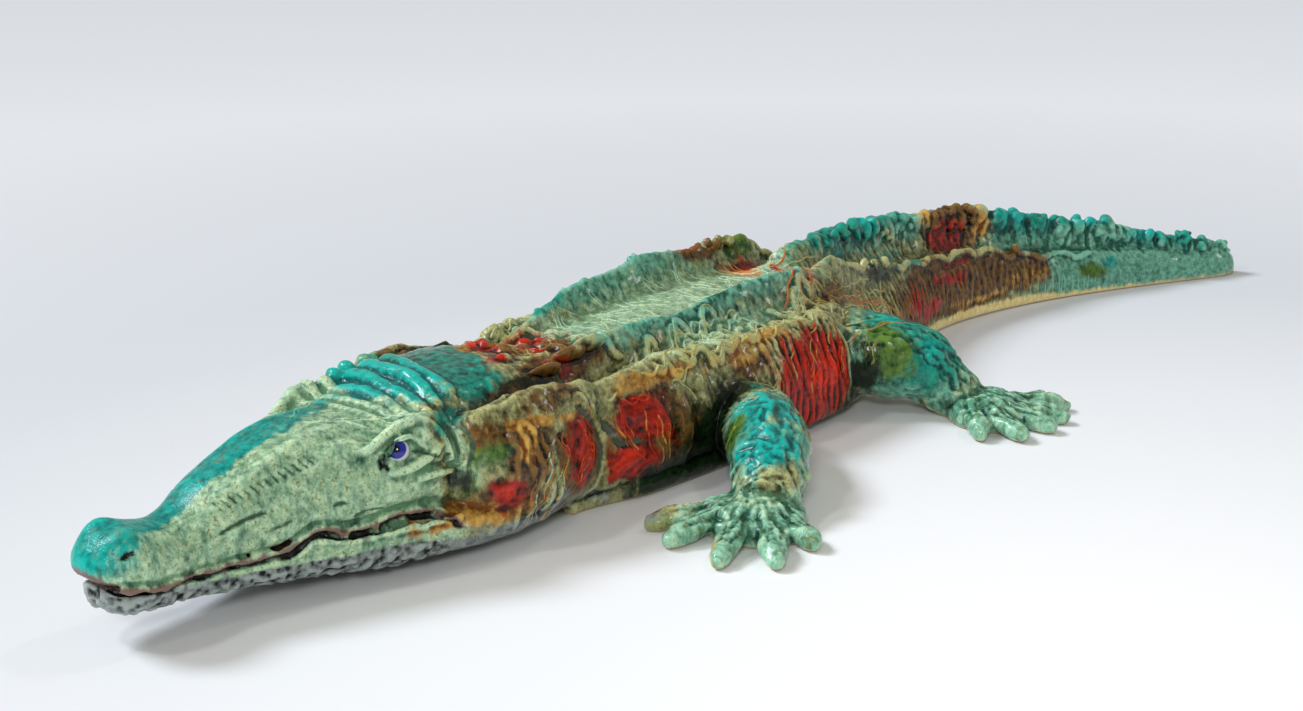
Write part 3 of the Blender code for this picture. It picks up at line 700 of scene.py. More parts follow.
# wavy folds along the valleys between back ridge and flank, and a tangle of them behind the nape
for side in (1, -1):
    for _ in range(46):
        wave(hand.uniform(-0.125, 0.080), side * hand.uniform(0.044, 0.061), hand.uniform(-0.20, 0.20),
             hand.uniform(0.016, 0.042), 1.0, hand.uniform(0.0022, 0.0032), hand.uniform(0.0014, 0.0026))
    # creases along the top of the jowl
    for number in range(9):
        along, across = -0.208 + 0.006 * number, side * hand.uniform(0.048, 0.060)
        rows = [from_above(along + step, across + side * 0.0012 * math.sin(step * 260 + number))
                for step in np.linspace(0, hand.uniform(0.016, 0.034), 14)]
        press("crease", rows, 0.0022, hand.choice((-0.0014, 0.0013)))
for _ in range(30):
    wave(hand.uniform(-0.160, -0.088), hand.uniform(-0.034, 0.034), hand.choice((1.3, -1.3, 1.0, 0.5)),
         hand.uniform(0.014, 0.034), 0.8, hand.uniform(0.0022, 0.0034), hand.uniform(0.0016, 0.0028))

# folds across the nape, each a slanting roll, thickest over the eyes
for place, slant, width, height in ((-0.2600, 0.05, 0.0026, 0.0011), (-0.2515, 0.00, 0.0030, 0.0016),
                                    (-0.2420, -0.08, 0.0040, 0.0030), (-0.2325, -0.13, 0.0044, 0.0036),
                                    (-0.2225, -0.17, 0.0044, 0.0036), (-0.2120, -0.21, 0.0040, 0.0026)):
    rows = [from_above(place + slant * across + 0.0014 * math.sin(across * 110 + place * 900), across)
            for across in np.linspace(-0.045, 0.035, 40)]
    press("rib", rows, width, height)
# a groove where the nape sinks behind the folds, and wrinkles round the neck
for place in (-0.1480, -0.1370, -0.1290):
    rows = [from_above(place + 0.15 * across * across * 20, across)
            for across in np.linspace(-0.050, 0.050, 40)]
    press("scratch", rows, 0.0024, -0.0014)
# folds and creases pulled down each arm and thigh
for side, arm, _, _ in LEGS:
    rows = bent(arm, 60)[:, :3] * (side, 1, 1) - CENTRE
    inward = Vector((-side * 0.62, 0.30, -0.72)).normalized()
    for number in range(26):
        first, length = hand.randrange(8, 46), hand.randrange(7, 16)
        drift = hand.uniform(-0.014, 0.014)
        spots = []
        for step, place in enumerate(rows[first:first + length]):
            start = place + drift * np.array([0.35 * side, 1.0, 0.0])
            start = start + (0, 0.0016 * math.sin(step * 0.9 + number), 0)
            spots.append(met(Vector(start) - 0.1 * inward, inward))
        if hand.random() < 0.6:
            press("crease", spots, hand.uniform(0.0018, 0.0030), hand.uniform(-0.0020, -0.0010))
        else:
            press("lobe", spots, hand.uniform(0.0022, 0.0034), hand.uniform(0.0010, 0.0018))
# short creases scattered over and round each foot
for side in (1, -1):
    for _ in range(60):
        angle = hand.uniform(0, math.tau)
        reach = hand.uniform(0, 0.028)
        front = hand.random() < 0.5
        middle = np.array([side * (0.128 if front else 0.132), -0.098 if front else 0.130]) - CENTRE[:2]
        if side < 0:
            middle[1] += 0.030 if front else -0.014
        spot = middle + reach * np.array([math.cos(angle), math.sin(angle)])
        way = hand.uniform(0, math.tau)
        ahead = np.array([math.cos(way), math.sin(way)])
        rows = [met((*(spot + step * ahead), HELD_OFF), (0, 0, -1))
                for step in np.linspace(0, 0.010, 9)]
        press("crease", rows, 0.0018, -0.0012)
for side, _, _, toes in LEGS:
    # long creases down each toe
    for toe in toes:
        root, tip = (np.array(end) * (side, 1) - CENTRE[:2] for end in (toe[:2], toe[2:]))
        beside_toe = np.array([-(tip - root)[1], (tip - root)[0]]) / np.linalg.norm(tip - root)
        for offset in (-0.0040, 0.0005, 0.0042):
            rows = []
            for step in np.linspace(-0.15, 0.72, 14):
                swerve = offset + 0.0008 * math.sin(step * 9 + offset * 900)
                place = root + step * (tip - root) + swerve * beside_toe
                rows.append(met((*place, HELD_OFF), (0, 0, -1)))
            press("crease", rows, 0.0017, -0.0012)


# The surface of the clay. Every line above lifts or sinks the skin, small lumps are left by the
# fingers, and the foot of the piece stays flat where it stands on the kiln shelf.
def value_noise(points, size, seed):
    """Soft lumps between -1 and 1, about one to each size."""
    table = np.random.default_rng(seed).uniform(-1, 1, (32, 32, 32))
    at = points / size
    cell = np.floor(at).astype(int)
    u = at - cell
    u = u * u * (3 - 2 * u)
    total = 0
    for corner in range(8):
        step = np.array([corner & 1, corner >> 1 & 1, corner >> 2 & 1])
        share = np.prod(np.where(step, u, 1 - u), axis=1)
        x, y, z = ((cell + step) % 32).T
        total = total + share * table[x, y, z]
    return total


def sought(points):
    """A finder for the points nearest to a place."""
    finder = KDTree(len(points))
    for number, point in enumerate(points):
        finder.insert(point, number)
    finder.balance()
    return finder


points, outward, edges = mesh_arrays(crocodile.data)
count = len(points)
finder = sought(points)

marks = {}
rise = np.zeros(count)
for kind, spots in lines.items():
    mark = np.zeros(count)
    lift = np.zeros(count)
    for spot, width, height in spots:
        for _, number, distance in finder.find_range(spot, width):
            near = 1 - (distance / width) ** 2
            mark[number] = max(mark[number], near)
            if abs(lift[number]) < abs(height) * near ** 0.5:
                lift[number] = height * near ** 0.5
    marks[kind] = mark
    rise = rise + lift
rise = eased(rise, edges, 1, count)

along, across, up = unbend(points)
legs = ramp(np.abs(across), 0.078, 0.092) * ramp(along, -0.22, -0.18) * (1 - ramp(along, 0.20, 0.24))
head = 1 - ramp(along, -0.262, -0.235)
tail = ramp(along, 0.09, 0.13)
crag = tail * ramp(up - curve(BACK, along), -0.004, 0.006)
rough = 0.60 + 0.15 * legs - 0.46 * head + 0.3 * crag - 0.35 * ramp(along, 0.36, 0.44) * (1 - crag)
lumps = rough * ((0.0008 + 0.0009 * legs) * value_noise(points, 0.012, 1)
                 + 0.0008 * value_noise(points, 0.0058, 2) + 0.0005 * value_noise(points, 0.0032, 3))
CHIN_LINE = mm((-413, 34), (-381.2, 27.5), (-360, 24), (-340, 22.3), (-270.5, 21.5), (-243.6, 18),
               (-213.3, 14), (-140, 11))
chin = head * (1 - ramp(up - curve(CHIN_LINE, along), -0.002, 0.003))
paws = ramp(np.abs(across), 0.096, 0.106) * legs * (1 - ramp(up, 0.020, 0.030))
lumps = lumps + paws * (0.0009 * value_noise(points, 0.0075, 6) + 0.0007 * value_noise(points, 0.0044, 7))
lumps = lumps + chin * (0.0013 * value_noise(points, 0.0036, 4) + 0.0008 * value_noise(points, 0.0024, 5))
foot = ramp(up, 0.0010, 0.0070)
points = points + outward * ((rise + lumps) * foot)[:, None]

def inside_box(points):
    """The same points, held just inside the room that the piece takes up."""
    low, high = np.array(cad_bounds[0]), np.array(cad_bounds[1])
    return np.clip(points, low + (0.0001, 0.0001, 0.0003), high - 0.0001)


points = inside_box(points)
crocodile.data.vertices.foreach_set("co", points.ravel())
crocodile.data.update()

CLAY_TRIANGLES = 190000
thinned = crocodile.modifiers.new("thinned", "DECIMATE")
thinned.ratio = CLAY_TRIANGLES / (2.0 * len(crocodile.data.polygons))
work_in(crocodile, thinned)
crocodile.data.name = "crocodile_clay"
crocodile.data.shade_smooth()


# The glazes. They are poured and dabbed over the white slip one after the other and melt into each other in
# the kiln: olive over all, then celadon, sea, teal, turquoise, leaf and forest green, umber, blue-black,
# ochre, iron red, scarlet and a cream edge where the clay is nearly bare. The near-black forest green laid
# low along the belly and in front of the foreleg is painted shade as well as glaze.
new_points = mesh_arrays(crocodile.data)[0]
moved = sought(points)
old = np.array([moved.find(point)[1] for point in new_points])
fine = ((eased(points, edges, 5, count) - points) * outward).sum(axis=1) / 0.00040
broad = ((eased(points, edges, 34, count) - points) * outward).sum(axis=1) / 0.0014
hollow = np.clip(0.5 + 0.32 * fine + 0.34 * broad, 0, 1)[old]
# Where each glaze is poured: a place along, across and up, how far it runs each way, all in
# millimetres, and how thick it lies in the middle. Pours well off the spine, and all on the tail,
# lie on both sides.
POURS = {
    "celadon": [(-10, 0, 84, 120, 32, 22, 1.7), (-214, 60, 56, 9, 20, 10, 0.8),
                (-225, 55, 60, 8, 20, 30, 0.9), (-10, 50, 76, 100, 13, 14, 0.85),
                (-103, 138, 18, 16, 26, 6, 1.4), (-52, 96, 50, 14, 14, 12, 0.4),
                (520, 12, 16, 80, 12, 12, 0.8)],
    "sea": [(-10, 36, 88, 125, 10, 18, 1.1), (-10, 48, 74, 110, 10, 12, 0.5),
            (500, 0, 30, 140, 40, 50, 1.6), (300, 0, 80, 220, 14, 24, 1), (105, 100, 35, 40, 40, 30, 1.3),
            (-70, 115, 30, 40, 40, 30, 1), (230, 18, 60, 80, 14, 10, 0.8), (400, 18, 38, 50, 8, 8, 1)],
    "teal": [(-200, -4, 88, 26, 46, 24, 1.8), (-190, 30, 80, 16, 16, 12, 1),
             (-20, 37, 90, 110, 5, 12, 0.6), (-80, -36, 92, 14, 10, 12, 1.2),
             (-10, -36, 98, 90, 6, 10, 0.55), (200, 0, 88, 90, 14, 20, 1.2),
             (430, 0, 66, 80, 16, 20, 1.3), (560, 0, 34, 60, 20, 16, 0.9), (107, 88, 58, 24, 30, 20, 1),
             (105, 112, 42, 30, 26, 22, 1.2), (-28, 82, 48, 18, 12, 12, 0.8),
             (-18, 96, 26, 26, 22, 24, 1.1), (-225, 44, 74, 12, 10, 12, 0.8),
             (125, 135, 10, 50, 50, 16, 0.62), (-120, 150, 8, 40, 40, 10, 0.5),
             (171, 12, 76, 8, 10, 8, 1.3), (256, 27, 56, 7, 8, 6, 1.1)],
    "turquoise": [(-399, 10, 51, 18, 19, 13, 0.85), (-228, -6, 86, 18, 44, 14, 1.5),
                  (-256, -16, 83, 16, 22, 8, 0.7), (-56, 108, 44, 26, 24, 22, 1.2),
                  (-26, 102, 34, 18, 14, 14, 0.9), (-80, 128, 36, 22, 20, 20, 1.2),
                  (222, 0, 88, 16, 14, 12, 1.1), (402, 0, 70, 20, 14, 16, 1.1),
                  (470, 0, 56, 24, 14, 10, 0.9), (540, 0, 40, 26, 12, 10, 1),
                  (101, 86, 59, 12, 12, 10, 1), (106, 114, 44, 14, 14, 12, 0.7),
                  (487, 17, 22, 10, 8, 6, 0.8)],
    "leaf": [(104, -36, 90, 18, 10, 14, 1.1), (90, 94, 46, 16, 18, 20, 1.2),
             (-216, 60, 58, 12, 16, 14, 0.9), (-228, 56, 40, 8, 12, 8, 0.9), (340, 0, 78, 24, 12, 10, 1),
             (468, 20, 18, 16, 10, 7, 1.1), (-150, 105, 6, 20, 16, 8, 0.8),
             (176, 110, 8, 14, 30, 10, 0.6), (-75, 100, 36, 14, 12, 20, 1)],
    # forest green is a near-black glaze; its low pours along the belly and in front of the foreleg also
    # paint the shade that lies under the body
    "forest": [(-196, 52, 76, 30, 10, 6, 0.62), (-20, 76, 8, 110, 24, 10, 1.9),
               (-165, 44, 74, 40, 7, 12, 1.8), (-78, 68, 24, 34, 18, 22, 1.9),
               (-45, 76, 30, 26, 12, 26, 1.6), (86, 80, 28, 7, 16, 24, 1.3),
               (180, 24, 60, 50, 12, 12, 1.3), (-150, 45, 72, 36, 5, 12, 1.1),
               (-10, 29, 80, 100, 3, 10, 0.5), (20, 43, 78, 100, 4, 12, 0.5),
               (0, 37, 86, 120, 9, 14, 0.44), (360, 22, 40, 50, 8, 5, 1), (-228, 52, 45, 5, 12, 10, 0.9),
               (420, 16, 40, 50, 8, 5, 0.8)],
    "umber": [(-196, 66, 52, 16, 16, 20, 1.2), (-214, 58, 66, 12, 14, 10, 0.9),
              (-160, 67, 42, 20, 18, 23, 1.8), (-105, 66, 44, 32, 16, 20, 1.6),
              (-210, 62, 30, 24, 18, 12, 1.3), (46, 76, 36, 42, 18, 32, 1.3),
              (-14, 68, 58, 24, 12, 10, 1), (-130, 0, 78, 44, 34, 16, 1.3),
              (-140, 36, 80, 30, 8, 10, 1.5), (70, -34, 96, 30, 10, 12, 1.1),
              (330, 6, 66, 38, 12, 18, 1.4), (300, 32, 30, 130, 20, 20, 1.9),
              (94, 50, 70, 40, 16, 12, 0.8), (-178, 57, 75, 30, 6, 6, 1), (-190, 48, 80, 30, 12, 8, 0.7)],
    "night": [(-180, 70, 10, 60, 40, 10, 1.2), (-176, 72, 22, 8, 16, 8, 1),
              (-156, 66, 16, 10, 16, 6, 0.8)],
    "ochre": [(-203, 64, 60, 4, 14, 9, 0.9), (-196, 66, 54, 3, 14, 12, 0.8),
              (-195, 63, 69, 24, 10, 3.5, 1.2), (-168, 64, 66, 14, 10, 3, 1),
              (-242, 48, 27, 18, 16, 5, 1.2), (-222, 62, 23, 24, 18, 6, 1.2),
              (300, 0, 78, 14, 14, 12, 0.8), (362, 0, 66, 14, 14, 16, 1), (400, 25, 24, 40, 14, 8, 0.55),
              (340, 32, 16, 60, 14, 4, 0.7), (-95, 60, 66, 40, 10, 5, 1.1), (-10, 66, 64, 50, 10, 6, 0.9),
              (-172, -6, 88, 4, 26, 8, 1.2), (84, 82, 44, 7, 12, 8, 1), (120, 48, 58, 50, 12, 12, 0.6),
              (-150, 140, 4, 12, 12, 5, 1), (180, 150, 3, 12, 20, 4, 0.8)],
    "red": [(-158, 67, 44, 12, 16, 18, 1.8), (-212, 62, 34, 9, 14, 10, 1.6),
            (-109, 64, 48, 17, 14, 12.5, 1.9), (-93, 69, 38, 7, 12, 12, 1.1),
            (-119, 64, 24.5, 13, 12, 10, 1.7), (-158, -8, 86, 10, 12, 8, 1.3),
            (-167, 21, 86, 7, 8, 6, 1.2), (-125, 0, 75, 16, 12, 10, 1.1),
            (-105, -18, 74, 18, 12, 10, 1.1), (-140, 33, 78, 14, 6, 7, 1.1),
            (44, 77, 36, 36, 18, 26, 1.9), (101, -22, 78, 14, 8, 8, 1.3), (94, 3, 80, 7, 5, 6, 1),
            (80, 36, 80, 12, 10, 10, 0.8), (68, -35, 99, 22, 5, 6, 0.8), (323, 6, 59, 20, 12, 11, 1.5),
            (310, 26, 47, 26, 10, 4, 1), (300, 32, 36, 30, 14, 7, 0.9), (238, 36, 34, 30, 14, 14, 0.7),
            (268, 38, 21, 20, 14, 7, 1.1)],
    "scarlet": [(-121, 64, 24.5, 10, 10, 7, 1.4), (-213, 63, 35, 5, 10, 6, 1),
                (52, 77, 38, 20, 14, 18, 0.9), (-160, -9, 87, 6, 6, 5, 0.9)],
    "cream": [(150, 60, 0, 60, 30, 6, 1.2)],
}
CREAM_EDGE = mm((150, 5), (280, 8.5), (390, 8), (450, 4), (612, 0.5))
CROWN_EDGE = mm((-413, 8), (-398.8, 14.7), (-380.3, 10.3), (-365.7, 5.5), (-335.4, 7.1), (-315.8, 6.4),
                (-290.3, 3.3), (-265.4, -4.2), (-251, -9.8))


def melt(obj, spots, pooling, extra):
    """Lay every glaze on one piece: how thick each lies at each point, with edges that have run."""
    drift = [value_noise(spots, 0.024, seed) * 0.008 + value_noise(spots, 0.008, seed + 7) * 0.004
             for seed in (11, 12, 13)]
    along, across, up = unbend(spots)
    plain_along, plain_across, plain_up = along, across, up
    along, across, up = along + drift[0], across + 0.5 * drift[1], up + 0.6 * drift[2]
    layers = {}
    for name, pours in POURS.items():
        thick = np.zeros(len(spots))
        for *place, full in pours:
            a, c, u, reach_a, reach_c, reach_u = mm(place)[0]
            side = np.abs(across) if c >= 0.029 or a > 0.12 else across
            fall = ((along - a) / reach_a) ** 2 + ((side - c) / reach_c) ** 2 + ((up - u) / reach_u) ** 2
            thick = np.maximum(thick, full * np.exp(-fall))
        layers[name] = thick
    foot = ramp(np.abs(across), 0.100, 0.118) * (1 - ramp(up, 0.016, 0.030))
    cheek = 1 - ramp(along, -0.250, -0.226)

    def deepen(name, thick):
        """Make one glaze at least this thick."""
        layers[name] = np.maximum(layers[name], thick)

    deepen("celadon", np.maximum(cheek, foot))
    deepen("sea", 0.62 * foot)
    deepen("leaf", 0.34 * foot)
    # the red stops short of the crease in front of the thigh
    stop = ramp(plain_along, 0.073, 0.082) * ramp(np.abs(plain_across), 0.052, 0.060) * (plain_along < 0.15)
    for name in ("red", "scarlet", "umber", "ochre"):
        layers[name] = layers[name] * (1 - stop)
    # the turquoise crown of the head, from the snout to the first fold of the nape
    crown = ramp(curve(CROWN_EDGE, plain_along) + 0.30 * drift[1] - plain_across, -0.0045, 0.0040)
    crown = crown * ramp(plain_across + 0.021, 0, 0.005)
    crown = crown * ramp(plain_up - curve(BACK, plain_along), -0.017, -0.010)
    crown = crown * (1 - ramp(plain_along, -0.262, -0.250))
    crown = crown * curve([(-0.410, 0.95), (-0.350, 0.90), (-0.315, 0.76), (-0.270, 0.60)], plain_along)
    deepen("turquoise", 0.96 * crown)
    deepen("teal", 1.05 * crown)
    deepen("sea", 0.40 * cheek)
    deepen("umber", np.maximum(0.28 * cheek, 0.30 * foot))
    chin = 1 - ramp(plain_up - curve(CHIN_LINE, plain_along), -0.0012, 0.0026)
    deepen("night", chin * (1 - ramp(plain_along, -0.20, -0.16)))
    edge = plain_up - curve(CREAM_EDGE, plain_along)
    deepen("cream", (1 - ramp(edge, -0.0040, 0.0046)) * ramp(plain_along, 0.15, 0.20))
    layers["satin"] = 1 - ramp(plain_along, -0.250, -0.226)
    mouth = curve(LOWER, plain_along)
    layers["lip"] = 0.85 * bump(plain_up, mouth + 0.0004, 0.0030) * (1 - ramp(along, -0.246, -0.228))
    layers["bare"] = 1 - ramp(plain_up, 0.0006, 0.0022)
    # how far each point takes its dark pooled colour: glaze pooled in the hide's hollows, and on the slip
    # noodles painted shade underneath and a painted highlight on top
    layers["hollow"] = pooling
    layers.update(extra)
    for name, values in layers.items():
        kept = obj.data.attributes.new(name, "FLOAT", "POINT")
        kept.data.foreach_set("value", np.asarray(values, dtype=np.float32))


# the socket marks are painted near-black: painted shade in the eye socket, the nostril and the mouth line
drawn = {"line_" + kind: 0.9 * marks[kind][old] for kind in ("groove", "scratch", "socket")}
melt(crocodile, new_points, hollow, drawn)


def colour(red, green, blue):
    """A colour as the eye reads it, turned into the shader's own numbers."""
    parts = [part / 255 for part in (red, green, blue)]
    return tuple(p / 12.92 if p <= 0.04045 else ((p + 0.055) / 1.055) ** 2.4 for p in parts) + (1.0,)


def add_node(tree, kind, inputs=None, **settings):
    """A node with its settings; each input is a plain value or the output that feeds it."""
    made = tree.nodes.new(kind)
    for name, value in settings.items():
        setattr(made, name, value)
    for name, value in (inputs or {}).items():
        if isinstance(value, bpy.types.NodeSocket):
            tree.links.new(value, made.inputs[name])
        else:
            made.inputs[name].default_value = value
    return made


def mixed(tree, share, first, second):
    """Two colours mixed by a share."""
    mix = tree.nodes.new("ShaderNodeMix")
    mix.data_type = "RGBA"
    for socket, value in ((mix.inputs[0], share), (mix.inputs[6], first), (mix.inputs[7], second)):
        if isinstance(value, bpy.types.NodeSocket):
            tree.links.new(value, socket)
        else:
            socket.default_value = value
    return mix.outputs[2]


def summed(tree, value, share, more):
    """One value times a share, and more added to it."""
    inputs = {0: value, 1: share, 2: more}
    return add_node(tree, "ShaderNodeMath", inputs, operation="MULTIPLY_ADD").outputs[0]


def spanned(tree, value, low, high, **settings):
    """A value stretched so that it goes from nought at low to one at high."""
    return add_node(tree, "ShaderNodeMapRange", {"Value": value, "From Min": low, "From Max": high},
                    **settings).outputs[0]


def new_group(name, ins, outs):
    """An empty shader node group with named inputs and outputs."""
    tree = bpy.data.node_groups.new(name, "ShaderNodeTree")
    for title, kind, value in ins:
        socket = tree.interface.new_socket(title, in_out="INPUT", socket_type=kind)
        socket.default_value = value
    for title, kind in outs:
        tree.interface.new_socket(title, in_out="OUTPUT", socket_type=kind)
    return tree, tree.nodes.new("NodeGroupInput").outputs, tree.nodes.new("NodeGroupOutput").inputs


# One glaze over another: it lies where it was poured, its edge is ragged where the two have run together,
# it pools dark in the hollows and breaks pale over the edges. On the slip noodles the same dark share is
# painted shade on their undersides and a painted highlight on their tops.
GREY = (0.5, 0.5, 0.5, 1.0)
glaze_tree, given, result = new_group(
    "glaze over glaze",
    [("Under", "NodeSocketColor", GREY), ("Poured", "NodeSocketFloat", 0.0),
     ("Pooled and shaded", "NodeSocketFloat", 0.5), ("Ragged", "NodeSocketFloat", 0.5),
     ("Mottled", "NodeSocketFloat", 0.5), ("Pooled", "NodeSocketColor", GREY),
     ("Broken", "NodeSocketColor", GREY)],
    [("Colour", "NodeSocketColor")])
POOLING = (0.40, 1.06)
edge = summed(glaze_tree, given["Ragged"], 0.45, given["Poured"])
lies = spanned(glaze_tree, edge, 0.50, 0.98, interpolation_type="SMOOTHSTEP")
tone = summed(glaze_tree, given["Mottled"], 0.55, given["Pooled and shaded"])
pooled = spanned(glaze_tree, tone, *POOLING)
film = mixed(glaze_tree, pooled, given["Broken"], given["Pooled"])
glaze_tree.links.new(mixed(glaze_tree, lies, given["Under"], film), result["Colour"])

glazed = bpy.data.materials.new("glazed clay")
glazed.use_nodes = True
tree = glazed.node_tree
shader = tree.nodes["Principled BSDF"]
place = add_node(tree, "ShaderNodeTexCoord").outputs["Object"]
running = add_node(tree, "ShaderNodeMapping", {"Vector": place, "Scale": (1.0, 1.0, 0.35)}).outputs[0]


def noise(scale, detail, low, high, over=place):
    """Noise over the clay, stretched so that it goes from nought to one."""
    raw = add_node(tree, "ShaderNodeTexNoise", {"Vector": over, "Scale": scale, "Detail": detail,
                                                "Roughness": 0.65})
    return spanned(tree, raw.outputs["Fac"], low, high)


runs = noise(170.0, 5.0, 0.34, 0.66, running)
mottle = noise(260.0, 5.0, 0.32, 0.68)
specks = noise(620.0, 2.0, 0.56, 0.66)
ripples = noise(330.0, 3.0, 0.2, 0.8)


def painted(name):
    """The values kept on the skin under one name."""
    return add_node(tree, "ShaderNodeAttribute", attribute_name=name).outputs["Fac"]


hollows = painted("hollow")
LAYERS = [("celadon", (92, 138, 104), (200, 228, 186)), ("sea", (22, 88, 70), (130, 198, 172)),
          ("teal", (0, 54, 50), (24, 156, 134)), ("turquoise", (0, 88, 86), (10, 178, 164)),
          # forest green is near-black: a glaze that also stands in for painted shade under the belly
          ("leaf", (10, 58, 22), (98, 134, 50)), ("forest", (1, 6, 3), (26, 48, 22)),
          ("umber", (20, 10, 4), (126, 90, 42)), ("night", (8, 12, 18), (158, 170, 166)),
          ("ochre", (112, 62, 10), (216, 172, 84)), ("red", (44, 2, 1), (184, 36, 14)),
          ("scarlet", (120, 10, 3), (222, 50, 24)), ("cream", (222, 190, 104), (250, 236, 178)),
          ("line_web", (84, 128, 110), (164, 204, 182)), ("line_trail", (56, 58, 16), (176, 172, 92)),
          ("line_ember", (100, 36, 10), (206, 118, 52)), ("line_gold", (104, 46, 6), (222, 166, 76)),
          ("line_groove", (74, 80, 66), (156, 164, 144)), ("lip", (58, 38, 34), (130, 106, 94)),
          # line_socket: near-black painted shade in the eye socket, nostril and mouth line
          ("line_scratch", (56, 82, 60), (112, 140, 108)), ("line_socket", (10, 14, 11), (34, 44, 36))]
dark_share = spanned(tree, summed(tree, mottle, 0.55, hollows), *POOLING)
film = mixed(tree, dark_share, colour(188, 190, 132), colour(50, 62, 34))
for name, pooled_colour, broken_colour in LAYERS:
    layer = add_node(tree, "ShaderNodeGroup", node_tree=glaze_tree)
    for socket, value in (("Under", film), ("Poured", painted(name)), ("Pooled and shaded", hollows), ("Ragged", runs),
                          ("Mottled", mottle)):
        tree.links.new(value, layer.inputs[socket])
    layer.inputs["Pooled"].default_value = colour(*pooled_colour)
    layer.inputs["Broken"].default_value = colour(*broken_colour)
    film = layer.outputs["Colour"]
    if name == "celadon":
        speck_share = add_node(tree, "ShaderNodeMath", {0: specks, 1: 0.80}, operation="MULTIPLY")
        film = mixed(tree, speck_share.outputs[0], film, colour(120, 104, 50))
bare = painted("bare")
film = mixed(tree, bare, film, colour(196, 166, 128))
tree.links.new(film, shader.inputs["Base Color"])
# bare clay and the satin glaze of the head are duller than the rest
gloss = add_node(tree, "ShaderNodeMapRange", {"Value": runs, "To Min": 0.07, "To Max": 0.20}).outputs[0]
satin = painted("satin")
tree.links.new(summed(tree, satin, 0.13, summed(tree, bare, 0.4, gloss)), shader.inputs["Roughness"])
tree.links.new(summed(tree, satin, -0.24, 0.28), shader.inputs["Coat Weight"])
ripple = add_node(tree, "ShaderNodeBump", {"Height": ripples, "Strength": 0.45, "Distance": 0.0009})
tree.links.new(ripple.outputs[0], shader.inputs["Normal"])
shader.inputs["IOR"].default_value = 1.42
shader.inputs["Specular IOR Level"].default_value = 0.27
shader.inputs["Coat Roughness"].default_value = 0.04

crocodile.data.materials.append(glazed)
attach(crocodile, "root")
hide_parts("crocodile")


# Noodles of slip. Thick slip is squeezed through a fine nozzle and trailed over the hide: squiggles on
# back and jowls, a web of straight lines on the saddle, rays over the hips, threads down neck and tail.
STEP = 0.0013
hide = BVHTree.FromObject(crocodile, bpy.context.evaluated_depsgraph_get())
nozzle = random.Random(5)


def crawl(start, way, length, sway, quick=0.45):
    """Trail over the hide from one spot in one direction, swaying from side to side."""
    at, normal = hide.find_nearest(Vector(start))[:2]
    way = Vector(way)
    path, swing = [], nozzle.uniform(0, math.tau)
    for _ in range(int(length / STEP)):
        way = way - normal * way.dot(normal)
        if way.length < 1e-6 or at.z < 0.0025:
            break
        way.normalize()
        path.append((at.copy(), normal.copy()))
        swing += nozzle.uniform(0.5, 1.5) * quick
        turn = sway * math.sin(swing)
        ahead = way * math.cos(turn) + normal.cross(way) * math.sin(turn)
        at, normal = hide.find_nearest(at + ahead * STEP)[:2]
    return path


def noodle_rings(path, thick, around):
    """A noodle of slip along a path: half sunk in the hide, thin at both ends, with how far each point of
    its ring faces outward from the hide, which sets its painted highlight and painted shade.
    """
    spots = np.array([spot for spot, _ in path])
    normals = np.array([normal for _, normal in path])
    ways = np.gradient(spots, axis=0)
    ways /= np.linalg.norm(ways, axis=1)[:, None] + 1e-9
    beside = np.cross(ways, normals)
    beside /= np.linalg.norm(beside, axis=1)[:, None] + 1e-9
    ends = np.minimum(np.arange(len(path)), np.arange(len(path))[::-1]) * STEP
    radii = thick * np.clip(0.35 + ends / (3 * thick), 0.35, 1)
    radii = radii * (1 + 0.14 * np.sin(np.arange(len(path)) * 1.7))
    angle = np.linspace(0, math.tau, around, endpoint=False) + math.pi / 2
    round_it = (np.cos(angle)[None, :, None] * beside[:, None, :]
                + np.sin(angle)[None, :, None] * normals[:, None, :])
    middles = spots - 0.35 * radii[:, None] * normals
    return middles[:, None, :] + radii[:, None, None] * round_it, np.sin(angle)


class Slip:
    """Noodles of slip with one number of sides, collected before they become one piece."""

    def __init__(self, around):
        self.around, self.clay, self.pooling, self.marks = around, Clay(), [], {}

    def trail(self, kind, path, thick, cover):
        if len(path) < 4:
            return
        rings, lift = noodle_rings(path, thick, self.around)
        self.clay.add(rings)
        # each noodle is kept pale on top and dark underneath by which way its ring faces: painted highlight
        # and painted shade, besides glaze pooling at its foot
        self.pooling.append(np.tile(np.clip(0.45 - 0.55 * lift, 0, 1), len(path)))
        for name in ("line_trail", "line_web", "line_ember", "line_gold"):
            value = cover if name == kind else 0.0
            self.marks.setdefault(name, []).append(np.full(len(path) * self.around, value))

    def piece(self, name):
        """Turn the noodles into one piece of glazed slip."""
        spots = inside_box(np.vstack(self.clay.points))
        mesh = bpy.data.meshes.new(name)
        mesh.from_pydata(spots.tolist(), [], self.clay.faces)
        made = bpy.data.objects.new(name, mesh)
        bpy.context.collection.objects.link(made)
        melt(made, spots, np.concatenate(self.pooling),
             {kind: np.concatenate(values) for kind, values in self.marks.items()})
        mesh.shade_smooth()
        mesh.materials.append(glazed)
        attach(made, "root")


def lengthwise(along):
    """The direction of the spine at one place."""
    turn = float(np.interp(along, WALK, TURN))
    return Vector((math.sin(turn), math.cos(turn), 0))


def crosswise(along):
    """The direction across the spine at one place, towards the animal's left."""
    turn = float(np.interp(along, WALK, TURN))
    return Vector((math.cos(turn), -math.sin(turn), 0))


def top_of(along, across):
    """The place on the finished hide straight under a place over the back."""
    hit = hide.ray_cast(Vector(stand(along, across, HELD_OFF)), Vector((0, 0, -1)))[0]
    return stand(along, across, 0.08) if hit is None else hit


